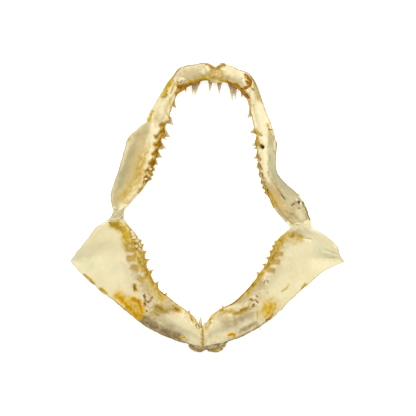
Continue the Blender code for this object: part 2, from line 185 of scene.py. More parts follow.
bend = np.array([(0.0, 0.0), (1.0, 1.0), (2.0, 0.0)])
print("a curve over three points, at a quarter:", Curve(bend, bend).at(0.25)[0])

# %% [markdown]
# ## A half jaw from its sections
# The curve runs through all the measures of a half at once. Round each section a spot is
# named by its turn: 0 at the rim, then over the inner side to a half at the outer edge, and
# back underneath. The bar, the groove behind the teeth and the dip of the plate then move it.

# %% A half jaw lofted along a curve
RIM_STEPS = 600                      # the places at which a rim's length is summed
NUDGE = 0.002                        # a short way along a half, which gives its heading
GROOVE_DEPTH = 0.7                   # behind the teeth, in millimetres
GROOVE_AT, GROOVE_HALF = 0.38, 0.2   # where the groove lies and how wide it is, in bar widths
BAR_FULL, BAR_END = 0.55, 1.55       # where the bar starts to thin and where it ends, likewise
INNER_PART = 0.62                    # how much of the bar's swell is on the inner side
DIP_FROM = 0.12                      # how far across the half the dip of the plate starts


class Cartilage(Curve):
    def __init__(self, name, sections, seed):
        numbers = np.array([[*s.rim, *s.edge, s.bar, s.lip, s.width, s.dip] for s in sections])
        super().__init__(numbers, (numbers[:, 0:3] + numbers[:, 3:6]) / 2)
        self.name, self.seed = name, seed
        self.runs = np.linspace(0, 1, RIM_STEPS)
        rim = self.at(self.runs)[:, 0:3]
        self.lengths = np.concatenate(
            [[0.0], np.cumsum(np.linalg.norm(np.diff(rim, axis=0), axis=1))])

    def frame(self, run):
        numbers = self.at(run)
        rim, edge = numbers[:, 0:3], numbers[:, 3:6]
        before = self.at(np.clip(run, NUDGE, 1) - NUDGE)
        after = self.at(np.clip(run, 0, 1 - NUDGE) + NUDGE)
        along = unit((after[:, 0:3] + after[:, 3:6]) - (before[:, 0:3] + before[:, 3:6]))
        across = unit(edge - rim)
        out = unit(np.cross(across, along))
        return numbers, rim, edge, along, across, out * np.sign(out[:, 2:3])

    def lay(self, turn, run):
        """Where a spot of the skin is, which way is out there, and how far the rim is."""
        numbers, rim, edge, _, across, out = self.frame(run)
        bar, lip, width, dip = numbers[:, 6:10].T
        angle = 2 * math.pi * turn
        share = (1 - np.cos(angle)) / 2
        reach = np.linalg.norm(edge - rim, axis=1)
        depth = share * reach
        inner = np.sin(angle) > 0
        swell = 1 - smooth(BAR_FULL * width, BAR_END * width, depth)
        groove = GROOVE_DEPTH * hump(GROOVE_AT * width, GROOVE_HALF * width, depth)
        half = np.where(inner, lip / 2 + (bar - lip) * INNER_PART * swell - groove,
                        -lip / 2 - (bar - lip) * (1 - INNER_PART) * swell)
        sink = dip * np.sin(math.pi * np.clip((share - DIP_FROM) / (1 - DIP_FROM), 0, 1)) ** 1.3
        round_off = np.abs(np.sin(angle)) ** 0.6
        point = rim + (edge - rim) * share[:, None] + out * (half * round_off - sink)[:, None]
        return dict(point=point, out=out, across=across, inner=inner, share=share, depth=depth,
                    reach=reach, width=width, round_off=round_off,
                    distance=np.interp(run, self.runs, self.lengths))

    def run_at(self, distance):
        return float(np.interp(distance, self.lengths, self.runs))

    def top(self, depth, run):
        """The inner surface at a depth from the rim."""
        numbers = self.at(run)
        reach = np.linalg.norm(numbers[:, 3:6] - numbers[:, 0:3], axis=1)
        share = np.clip(depth / reach, 0.0, 1.0)
        return self.lay(np.arccos(1 - 2 * share) / (2 * math.pi), run)


HALVES = {name: Cartilage(name, sections, 11 + number)
          for number, (name, sections) in enumerate(SECTIONS.items())}
for name, half in HALVES.items():
    print(name, "rim", round(half.lengths[-1], 1), "mm long")

# %% [markdown]
# ## Colours from sums
# Every finish here is mixed by arithmetic on noise and on values stored in the mesh. Wiring
# such sums by hand hides them in a web of nodes, so a small class lets a socket stand in a
# Python expression, and one method adds any other node.

# %% A socket that can be used in sums
def rgb(text):
    """A colour as it is seen on a screen, turned to the linear numbers that light uses."""
    parts = [int(text[i:i + 2], 16) / 255 for i in (1, 3, 5)]
    return tuple(c / 12.92 if c < 0.04 else ((c + 0.055) / 1.055) ** 2.4 for c in parts) + (1.0,)


class Signal:
    def __init__(self, finish, socket):
        self.finish, self.socket = finish, socket

    def sum(self, operation, first, second):
        return self.finish.add("ShaderNodeMath", dict(operation=operation), {0: first, 1: second})

    def __add__(self, other):
        return self.sum("ADD", self, other)

    def __radd__(self, other):
        return self.sum("ADD", other, self)

    def __sub__(self, other):
        return self.sum("SUBTRACT", self, other)

    def __rsub__(self, other):
        return self.sum("SUBTRACT", other, self)

    def __mul__(self, other):
        return self.sum("MULTIPLY", self, other)

    def __rmul__(self, other):
        return self.sum("MULTIPLY", other, self)


print("ivory as light sees it:", [round(c, 3) for c in rgb("#ddd2b0")[:3]])

# %% A finish: one material and the few ways its nodes are made
FACTOR, BELOW, ABOVE, MIXED = 0, 6, 7, 2   # the sockets of a Mix node that mixes colours


class Finish:
    def __init__(self, name, **constants):
        self.material = bpy.data.materials.new(name)
        self.material.use_nodes = True
        self.tree = self.material.node_tree
        self.tree.nodes.clear()
        self.shader = self.tree.nodes.new("ShaderNodeBsdfPrincipled")
        output = self.tree.nodes.new("ShaderNodeOutputMaterial")
        self.tree.links.new(self.shader.outputs[0], output.inputs[0])
        for socket, value in constants.items():
            self.shader.inputs[socket.replace("_", " ")].default_value = value
        self.place = self.add("ShaderNodeTexCoord", {}, {}, "Object")

    def add(self, kind, settings, inputs, output=0):
        node = self.tree.nodes.new(kind)
        for key, value in settings.items():
            setattr(node, key, value)
        for key, value in inputs.items():
            self.feed(node.inputs[key], value)
        return Signal(self, node.outputs[output])

    def feed(self, socket, value):
        if isinstance(value, Signal):
            self.tree.links.new(value.socket, socket)
        else:
            socket.default_value = value

    def stored(self, name, output="Fac"):
        return self.add("ShaderNodeAttribute", dict(attribute_name=name), {}, output)

    def stretched(self, vector, scale):
        return self.add("ShaderNodeVectorMath", dict(operation="MULTIPLY"), {0: vector, 1: scale})

    def noise(self, scale, detail=3.0, roughness=0.55, vector=None):
        return self.add("ShaderNodeTexNoise", dict(noise_dimensions="3D"), {
            "Vector": vector or self.place, "Scale": scale, "Detail": detail,
            "Roughness": roughness}, "Fac")

    def tiles(self, scale):
        return self.add("ShaderNodeTexVoronoi", dict(feature="DISTANCE_TO_EDGE"), {
            "Vector": self.place, "Scale": scale}, "Distance")

    def step(self, low, high, value, reach=1.0):
        return self.add("ShaderNodeMapRange", dict(interpolation_type="SMOOTHSTEP"), {
            "Value": value, "From Min": low, "From Max": high, "To Min": 0.0, "To Max": reach})

    def mix(self, factor, first, second):
        return self.add("ShaderNodeMix", dict(data_type="RGBA", clamp_factor=True),
                        {FACTOR: factor, BELOW: first, ABOVE: second}, MIXED)

    def bump(self, height, depth, strength):
        return self.add("ShaderNodeBump", {}, {
            "Height": height, "Distance": depth, "Strength": strength})

    def set(self, **sockets):
        for socket, value in sockets.items():
            self.feed(self.shader.inputs[socket.replace("_", " ")], value)
        return self.material


# %% [markdown]
# ## One way to make a body
# Cartilage, gum, ligament and teeth are all round things with a changing section, so each
# is a grid rolled into a tube: a function says where each spot of the grid goes, the seam is
# welded and the ends are filled. Numbers stored on the same vertices later drive the finish.

# %% A piece made of one or more rolled grids
TOUCH = 1e-7                 # vertices nearer than this become one, in metres
CREASE = math.radians(60)    # edges sharper than this are shaded as edges


class Piece:
    def __init__(self, name, fields=()):
        self.name, self.bm = name, bmesh.new()
        self.layers = {field: self.bm.verts.layers.float.new(field) for field in fields}
        self.lie = self.bm.verts.layers.float_vector.new("lie")

    def roll(self, columns, rows, shape):
        grid = bmesh.ops.create_grid(self.bm, x_segments=columns, y_segments=rows, size=0.5)
        verts = grid["verts"]
        flat = np.array([vert.co[:2] for vert in verts]) + 0.5
        seam = flat[:, 0] > 1 - 0.25 / columns
        turn = np.where(seam, 0.0, flat[:, 0])
        made = shape(turn, np.clip(flat[:, 1], 0, 1))
        points, fields = made if isinstance(made, tuple) else (made, {})
        places = (points + SHIFT) * MM
        lie = fields.get("lie", points)
        for i, vert in enumerate(verts):
            vert.co = places[i]
            vert[self.lie] = lie[i]
        for field, layer in self.layers.items():
            values = fields.get(field)
            if values is not None:
                for vert, value in zip(verts, values):
                    vert[layer] = value
        sides = seam | (flat[:, 0] < 0.25 / columns)
        bmesh.ops.remove_doubles(
            self.bm, verts=[vert for vert, side in zip(verts, sides) if side], dist=TOUCH)
        open_edges = [edge for edge in self.bm.edges if edge.is_boundary]
        bmesh.ops.holes_fill(self.bm, edges=open_edges, sides=0)

    def done(self, material, slot, replaces=()):
        bmesh.ops.recalc_face_normals(self.bm, faces=self.bm.faces)
        mesh = bpy.data.meshes.new(self.name)
        self.bm.to_mesh(mesh)
        self.bm.free()
        mesh.materials.append(material)
        mesh.shade_smooth()
        mesh.set_sharp_from_angle(angle=CREASE)
        thing = bpy.data.objects.new(self.name, mesh)
        bpy.context.scene.collection.objects.link(thing)
        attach(thing, "root")
        if replaces:
            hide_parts(*replaces)
        print(self.name, len(mesh.polygons), "faces")
        return thing


# %% [markdown]
# ## Where the teeth stand
# Every tooth has its own place along the rim, height, width and lean to the joint, all in
# millimetres. The front teeth are tall and in pairs, where a second one waits beside the
# first; the side teeth crowd together and shrink towards the joint. One table serves the
# crowns, the gum round their feet and the scalloped rim.

# %% The teeth of the four rims
Tooth = namedtuple("Tooth", "at height width lean")
TEETH = {
    "upper_left": [
        Tooth(1.3, 6.4, 2.0, 0.04), Tooth(8.7, 7.4, 2.9, 0.27), Tooth(10.5, 6.5, 1.8, 0.25),
        Tooth(15.2, 2.8, 1.6, 0.0), Tooth(27.1, 4.2, 2.7, 0.38), Tooth(37.2, 4.9, 3.2, 0.54),
        Tooth(45.0, 4.7, 3.2, 0.54), Tooth(51.7, 4.1, 3.0, 0.47), Tooth(56.9, 3.4, 2.6, 0.47),
        Tooth(61.2, 2.4, 2.3, 0.60), Tooth(64.8, 1.7, 1.9, 0.56), Tooth(67.7, 1.2, 1.6, 0.60),
        Tooth(70.2, 1.0, 1.4, 0.70)],
    "upper_right": [
        Tooth(0.9, 7.0, 2.4, -0.05), Tooth(7.8, 8.4, 3.0, 0.26), Tooth(9.4, 7.1, 2.2, 0.38),
        Tooth(14.3, 3.4, 2.4, 0.10), Tooth(28.2, 4.4, 3.3, 0.59), Tooth(38.3, 4.2, 3.5, 0.26),
        Tooth(44.9, 4.1, 3.2, 0.48), Tooth(47.0, 4.0, 1.9, 0.42), Tooth(51.9, 4.3, 3.0, 0.44),
        Tooth(56.9, 3.3, 2.7, 0.30), Tooth(61.6, 2.3, 2.1, 0.33), Tooth(65.4, 1.2, 1.8, 0.30),
        Tooth(68.1, 1.1, 1.6, 0.50), Tooth(70.9, 0.9, 1.3, 0.30)],
    "lower_left": [
        Tooth(0.9, 6.4, 2.1, -0.05), Tooth(10.4, 2.2, 1.2, 0.1), Tooth(25.8, 2.3, 1.3, 0.0),
        Tooth(33.7, 3.0, 1.4, 0.0), Tooth(41.3, 3.6, 1.6, 0.0), Tooth(48.2, 3.0, 1.5, 0.1),
        Tooth(53.0, 2.0, 1.3, 0.2), Tooth(57.2, 1.4, 1.1, 0.2), Tooth(59.9, 1.2, 1.0, 0.2)],
    "lower_right": [
        Tooth(14.8, 1.9, 1.2, 0.1), Tooth(41.9, 2.6, 1.4, 0.0), Tooth(48.3, 3.0, 1.5, 0.0),
        Tooth(52.6, 3.0, 1.5, 0.0), Tooth(56.5, 1.9, 1.2, 0.1), Tooth(59.9, 1.4, 1.1, 0.2),
        Tooth(62.6, 1.1, 1.0, 0.2)],
}
for name, teeth in TEETH.items():
    print(name, len(teeth), "teeth, the last", round(teeth[-1].at, 1), "mm from the front")

# %% [markdown]
# ## Stains, tears and worn spots
# Fat, gum and blood dried in the cartilage and left it amber in places, rows of waiting teeth
# show brown through their cover, and thin plates turned greenish grey. Each mark is a short
# path with a name and a half width in millimetres. The paths lie on a grid of 0.52 mm squares
# laid over the jaw as an eye 0.9 m above sees it, counted from its upper left corner.
# A brush would leave the same stains as pixels; named paths can be moved one at a time.
# Some marks paint shade instead of a stain: on the lower sides of the fronts, in a crease by a
# joint, and inside holes and slits.

# %% The grid, and what a mark is
SQUARE, EYE = 0.52, 900.0   # the side of a square and the height of the eye, in millimetres
MIDDLE = 207.5              # the square over the middle, both across and down
Mark = namedtuple("Mark", "kind name radius strength path")


def marks_from(*rows):
    return [Mark(kind, name, radius, strength, np.array(path, float))
            for kind, name, radius, strength, *path in rows]


MARKS = {}
print("one square of the grid is", SQUARE, "mm wide")

# %% [markdown]
# ## Marks of the upper left
# The bulge at the front is clay-coloured, with a torn brown corner and white nodules beside it.
# The neck has two pale folds and a gold edge, and eight dark windows over waiting teeth
# step down the flange, inside a pale ridge.

# %% The marks of the upper left
MARKS["upper_left"] = marks_from(
    ("clay", "bulla", 4.7, 1.0, (177, 84), (184, 74), (202, 72)),
    ("pale", "top of the bulla", 1.0, 0.55, (187, 68), (200, 67)),
    ("pale", "end of the bulla", 1.2, 1.0, (203, 70.5), (203.6, 72)),
    ("white", "cheek", 0.9, 0.95, (206, 65.6), (208.4, 69.5)),
    ("tan", "symphysis", 2.6, 1.1, (212, 71), (214, 76)),
    ("gold", "under the symphysis", 1.0, 1.0, (207, 78.5), (215, 80)),
    ("rough", "corner", 1.8, 1.0, (177.5, 79), (182.5, 81)),
    ("white", "first nodule", 0.5, 1.1, (182.9, 79.2), (182.5, 80.4)),
    ("white", "second nodule", 0.4, 1.0, (178.7, 78.9), (179.3, 79.5)),
    ("white", "third nodule", 0.35, 1.0, (180.8, 77.8), (180.4, 79)),
    ("brown", "between the nodules", 0.5, 0.85, (181.7, 81.4), (180.2, 82.2)),
    ("brown", "beside the nodules", 0.45, 1.0, (177.3, 82.3), (176.4, 80.4)),
    ("gold", "corner", 1.0, 0.9, (176.5, 85.4), (181, 85.0)),
    ("amber", "corner", 1.35, 1.1, (178.8, 86.6), (181.5, 85.9), (185.5, 85.2)),
    ("pale", "outer fold of the neck", 0.65, 0.95, (171.5, 84.5), (169.2, 92)),
    ("pale", "inner fold of the neck", 0.75, 1.0, (175.4, 86.8), (172.6, 94.8)),
    ("tan", "between the folds", 0.45, 0.95, (173.2, 85), (170.8, 92.4)),
    ("tan", "inner side of the neck", 0.5, 0.8, (177.6, 88.6), (175, 95)),
    ("gold", "outer edge of the neck", 1.15, 1.05, (171.7, 79.4), (168, 85.5), (164.7, 92.5),
     (161.4, 96.4)),
    ("brown", "end of that edge", 0.6, 1.0, (161.6, 96.6), (164.6, 96.4), (166.6, 94.6)),
    ("clay", "arm", 3.6, 0.66, (162, 102), (157, 112), (158, 122)),
    ("pale", "arm", 1.6, 0.7, (164, 102), (160, 109)),
    ("gold", "inner side of the arm", 0.7, 0.8, (170.2, 98.5), (169.4, 107)),
    ("gold", "edge above the notch", 0.75, 1.0, (152.6, 111.4), (147.6, 120.6)),
    ("tan", "deep of that edge", 0.6, 1.0, (150.6, 114.8), (148.6, 118.6)),
    ("tan", "rim above the first blade", 0.5, 0.85, (166.9, 113), (168.2, 118)),
    ("window", "first", 1.05, 1.0, (166, 122.4), (161, 124.6)),
    ("window", "second", 1.25, 1.05, (162.4, 131.6), (159.4, 133.6), (155.8, 135.8)),
    ("window", "third", 1.2, 1.05, (159.5, 142.2), (154.4, 144.6)),
    ("window", "fourth", 1.2, 1.05, (156.5, 151.6), (152.9, 154)),
    ("window", "fifth", 1.15, 1.1, (153, 160.4), (149.6, 162.8)),
    ("window", "sixth", 1.15, 1.2, (148.4, 169), (146.2, 171)),
    ("window", "seventh", 0.85, 1.15, (145.8, 175.4), (144.6, 177.2)),
    ("window", "eighth", 0.55, 1.1, (144.1, 180.4), (143.6, 182.4)),
    ("white", "fourth nodule", 0.5, 1.1, (150.1, 168), (150.3, 168.8)),
    ("white", "fifth nodule", 0.5, 1.1, (148.5, 174.4), (148.3, 175.4)),
    ("white", "sixth nodule", 0.4, 1.0, (147.4, 171.4), (147.2, 171.8)),
    ("white", "seventh nodule", 0.55, 1.1, (145.7, 178.2), (145.5, 179)),
    ("white", "eighth nodule", 0.4, 1.0, (145.2, 182.2), (144.8, 183)),
    ("pale", "ridge", 0.95, 0.8, (151.5, 124), (150.4, 134), (149.6, 144), (147, 154), (143.8, 165),
     (141.2, 173)),
    ("pale", "lower ridge", 0.42, 0.9, (141.2, 173), (139.3, 181), (138, 187.5)),
    ("tan", "beside the ridge", 1.9, 0.64, (147.6, 146), (143, 160), (138.5, 172)),
    ("tan", "lower middle of the flange", 2.8, 0.78, (141.4, 158), (138.4, 172), (136.8, 181)),
    ("tan", "heel", 3.4, 0.62, (133, 180), (128, 190), (125, 199)),
    ("gold", "rim below the windows", 0.5, 1.0, (143.4, 185.4), (140, 189.8), (137.4, 192)),
    ("gold", "end of the ridge", 0.8, 0.8, (138.4, 188), (138, 189)),
    ("blue", "outer side of the flange", 2.2, 0.62, (120.6, 167), (122.2, 178), (120.6, 187)),
    ("pale", "outer edge of the flange", 0.9, 0.62, (133, 138), (127, 149), (123, 161), (120, 170)),
    ("tan", "first dot on the edge", 0.4, 0.9, (136.4, 128.9), (135.8, 129.4)),
    ("tan", "second dot on the edge", 0.4, 0.9, (129, 137), (127.8, 139.6)),
    ("pale", "heel", 1.5, 0.7, (128, 200.6), (120.4, 204.6)),
    ("gold", "over the heel", 1.6, 0.42, (117.6, 197), (123, 190.6)),
    ("brown", "heel fleck", 0.45, 1.05, (124.8, 204), (129, 206)),
    ("white", "first knob of the joint", 0.5, 0.9, (125.3, 208.6), (124.4, 209.4)),
    ("white", "second knob of the joint", 0.4, 0.85, (128.2, 207.6), (127.6, 208.4)),
)
print("upper_left", len(MARKS["upper_left"]), "marks")

# %% [markdown]
# ## Marks of the upper right
# An amber tear opens the corner here, and a second amber patch lies where the gum ends. The
# flange is narrow and greenish, with a hole, a slit, and shreds over a torn heel.

# %% The marks of the upper right
MARKS["upper_right"] = marks_from(
    ("clay", "bulla", 3.4, 0.72, (225, 77), (233, 79), (241, 82)),
    ("pale", "bulla", 2.0, 0.55, (228, 71), (238, 75)),
    ("tan", "symphysis", 3.1, 1.1, (215, 71), (217, 75)),
    ("gold", "under the symphysis", 1.0, 1.0, (214, 80), (224, 80)),
    ("white", "beside the lump", 0.65, 1.0, (223.4, 68.6), (224.6, 69.4)),
    ("amber", "torn corner", 0.8, 1.2, (245.2, 74.6), (248, 76.2)),
    ("amber", "middle of the tear", 1.35, 1.25, (248.8, 77.6), (249.8, 81), (248.9, 84.4)),
    ("amber", "foot of the tear", 0.75, 1.2, (248, 86), (244, 87.4)),
    ("amber", "first finger of the tear", 0.38, 1.2, (250, 79.4), (246.4, 77.6)),
    ("amber", "second finger of the tear", 0.36, 1.2, (250, 83), (245.8, 81.6)),
    ("white", "flakes of the tear", 0.75, 0.95, (243.4, 79.6), (244, 84)),
    ("shade", "upper end of the tear", 0.25, 1.0, (244.4, 76.6), (245, 78)),
    ("shade", "fleck of the bulla", 0.25, 0.9, (241, 77.6), (241.6, 78.2)),
    ("pale", "lip of the tear", 0.55, 1.1, (252.6, 80), (251.8, 86)),
    ("amber", "gum over the second tooth", 0.75, 0.95, (227, 82.4), (235.6, 84), (240, 87)),
    ("amber", "gum corner", 0.75, 1.3, (241, 88.6), (244.3, 92.9), (247.6, 96.8)),
    ("brown", "deep of the gum corner", 0.36, 1.05, (242.6, 90.2), (246.4, 95)),
    ("white", "lobes of the gum corner", 0.55, 1.0, (246.2, 89.4), (247.4, 92.4)),
    ("clay", "neck", 2.5, 1.1, (253.6, 82), (256.4, 88), (259, 97)),
    ("brown", "spot of the neck", 0.42, 0.95, (252.4, 88), (253.2, 88.6)),
    ("tan", "stripe of the neck", 0.45, 0.85, (255.6, 90), (258, 98.6)),
    ("tan", "second stripe of the neck", 0.35, 0.7, (258.8, 92), (261.4, 101)),
    ("pale", "ridge of the neck", 1.0, 0.85, (250.8, 93), (251.6, 105)),
    ("pale", "arm", 2.2, 0.85, (255, 108), (258, 118), (262, 125)),
    ("shade", "speck of the arm", 0.22, 0.9, (254, 104), (254.2, 104.6)),
    ("tan", "inner side of the arm", 0.5, 0.85, (249.2, 98), (250.2, 110)),
    ("tan", "arm fleck", 0.85, 1.0, (266.4, 124), (267.2, 126)),
    ("brown", "middle of that fleck", 0.28, 0.8, (266, 124.6), (267.6, 126.2)),
    ("amber", "second arm fleck", 0.4, 1.15, (268.6, 128.5), (272, 128.9)),
    ("shade", "line under the flecks", 0.3, 0.7, (269.6, 131.6), (272.2, 136)),
    ("tan", "first file", 1.3, 1.0, (254.8, 131.4), (258.6, 133.4)),
    ("pit", "spot of the first file", 0.4, 0.9, (260.4, 134.8), (261.2, 135.2)),
    ("gold", "under the first file", 0.8, 0.9, (256.2, 136), (257.6, 139.6)),
    ("gold", "second file", 1.2, 1.1, (257, 142.6), (259.4, 145.6)),
    ("window", "third", 1.1, 0.64, (257.2, 154.8), (259.2, 159.2)),
    ("window", "fourth", 1.0, 0.92, (258.6, 164.4), (260.4, 168)),
    ("window", "fifth", 0.9, 0.92, (260.8, 173.4), (262.2, 177)),
    ("window", "sixth", 0.75, 0.62, (263.2, 181.8), (265, 185.4)),
    ("window", "seventh", 0.65, 0.88, (265.8, 189.2), (267.8, 193)),
    # painted shade inside the hole
    ("dark", "hole", 0.95, 1.2, (260.6, 145.6), (261.4, 146.4)),
    ("shade", "dot", 0.32, 0.9, (267.3, 146.9), (267.7, 146.9)),
    ("pale", "ridge", 0.6, 1.05, (263.8, 151), (265, 165), (265.9, 172), (268.4, 181)),
    ("shade", "beside the ridge", 0.45, 0.62, (267.6, 156), (268.2, 172), (271, 181), (275, 186)),
    ("green", "flange", 2.6, 0.9, (270, 150), (271.5, 165), (274, 178)),
    ("pale", "edge bump", 1.0, 0.8, (274.6, 142.6), (274.8, 147.6)),
    # painted shade at the sides of the edge bump
    ("shade", "above the bump", 0.3, 1.0, (272.4, 136), (274, 140.4)),
    ("shade", "below the bump", 0.3, 1.0, (273.6, 151), (275.2, 152.4)),
    ("tan", "fold above the slit", 0.9, 0.62, (274.6, 184.6), (279, 191.5), (281, 194)),
    # painted shade inside the slit
    ("dark", "slit", 0.28, 1.2, (280.5, 194.2), (283.4, 198.5)),
    ("pale", "plate of the heel", 3.6, 0.95, (281, 181.6), (288, 189), (292.6, 196)),
    ("clay", "end of the heel", 3.6, 0.7, (291, 203), (290, 209)),
    ("tan", "warm part of the heel", 2.0, 0.42, (272.4, 189), (280, 203), (286, 212)),
    # painted shade inside the torn holes
    ("dark", "torn hole", 0.5, 1.1, (297.6, 201), (297.9, 203)),
    ("shade", "second torn hole", 0.4, 1.1, (291, 205.4), (293.2, 203.9)),
    ("blue", "torn edge", 0.6, 1.1, (298, 197.4), (298.8, 200)),
    ("white", "shreds over the tear", 0.5, 1.1, (295.6, 199), (296.2, 200.4)),
    ("white", "shreds beside the tear", 0.55, 1.1, (300.2, 202.6), (300.4, 206)),
    ("shade", "under the shreds", 0.35, 0.9, (297.4, 207.8), (299.4, 208)),
    ("brown", "outer edge", 0.4, 1.1, (303, 203), (306.6, 211), (308.3, 217.5), (309.7, 223)),
    ("dark", "blob of the edge", 0.35, 1.0, (302.2, 201.6), (303, 202.4)),
    ("shade", "second line of the edge", 0.28, 0.9, (305.2, 213), (306.4, 223)),
    # painted shade in the crease by the joint
    ("shade", "joint streak", 0.75, 0.66, (285, 211.8), (289, 213.8), (292.6, 215.2)),
    ("shade", "under that streak", 1.1, 0.55, (288, 217), (295, 217.6)),
    ("flange", "inner side of the heel", 4.6, 1.1, (268, 186), (277, 200), (286, 212), (292, 222)),
    ("clay", "bar of the heel", 3.4, 1.3, (270, 190), (279, 204), (288, 218)),
    ("gold", "rim of the heel", 1.25, 0.85, (263.5, 186), (269.5, 194), (276.5, 205)),
    ("pale", "heel", 2.0, 0.8, (298, 211), (301, 216)),
)
print("upper_right", len(MARKS["upper_right"]), "marks")
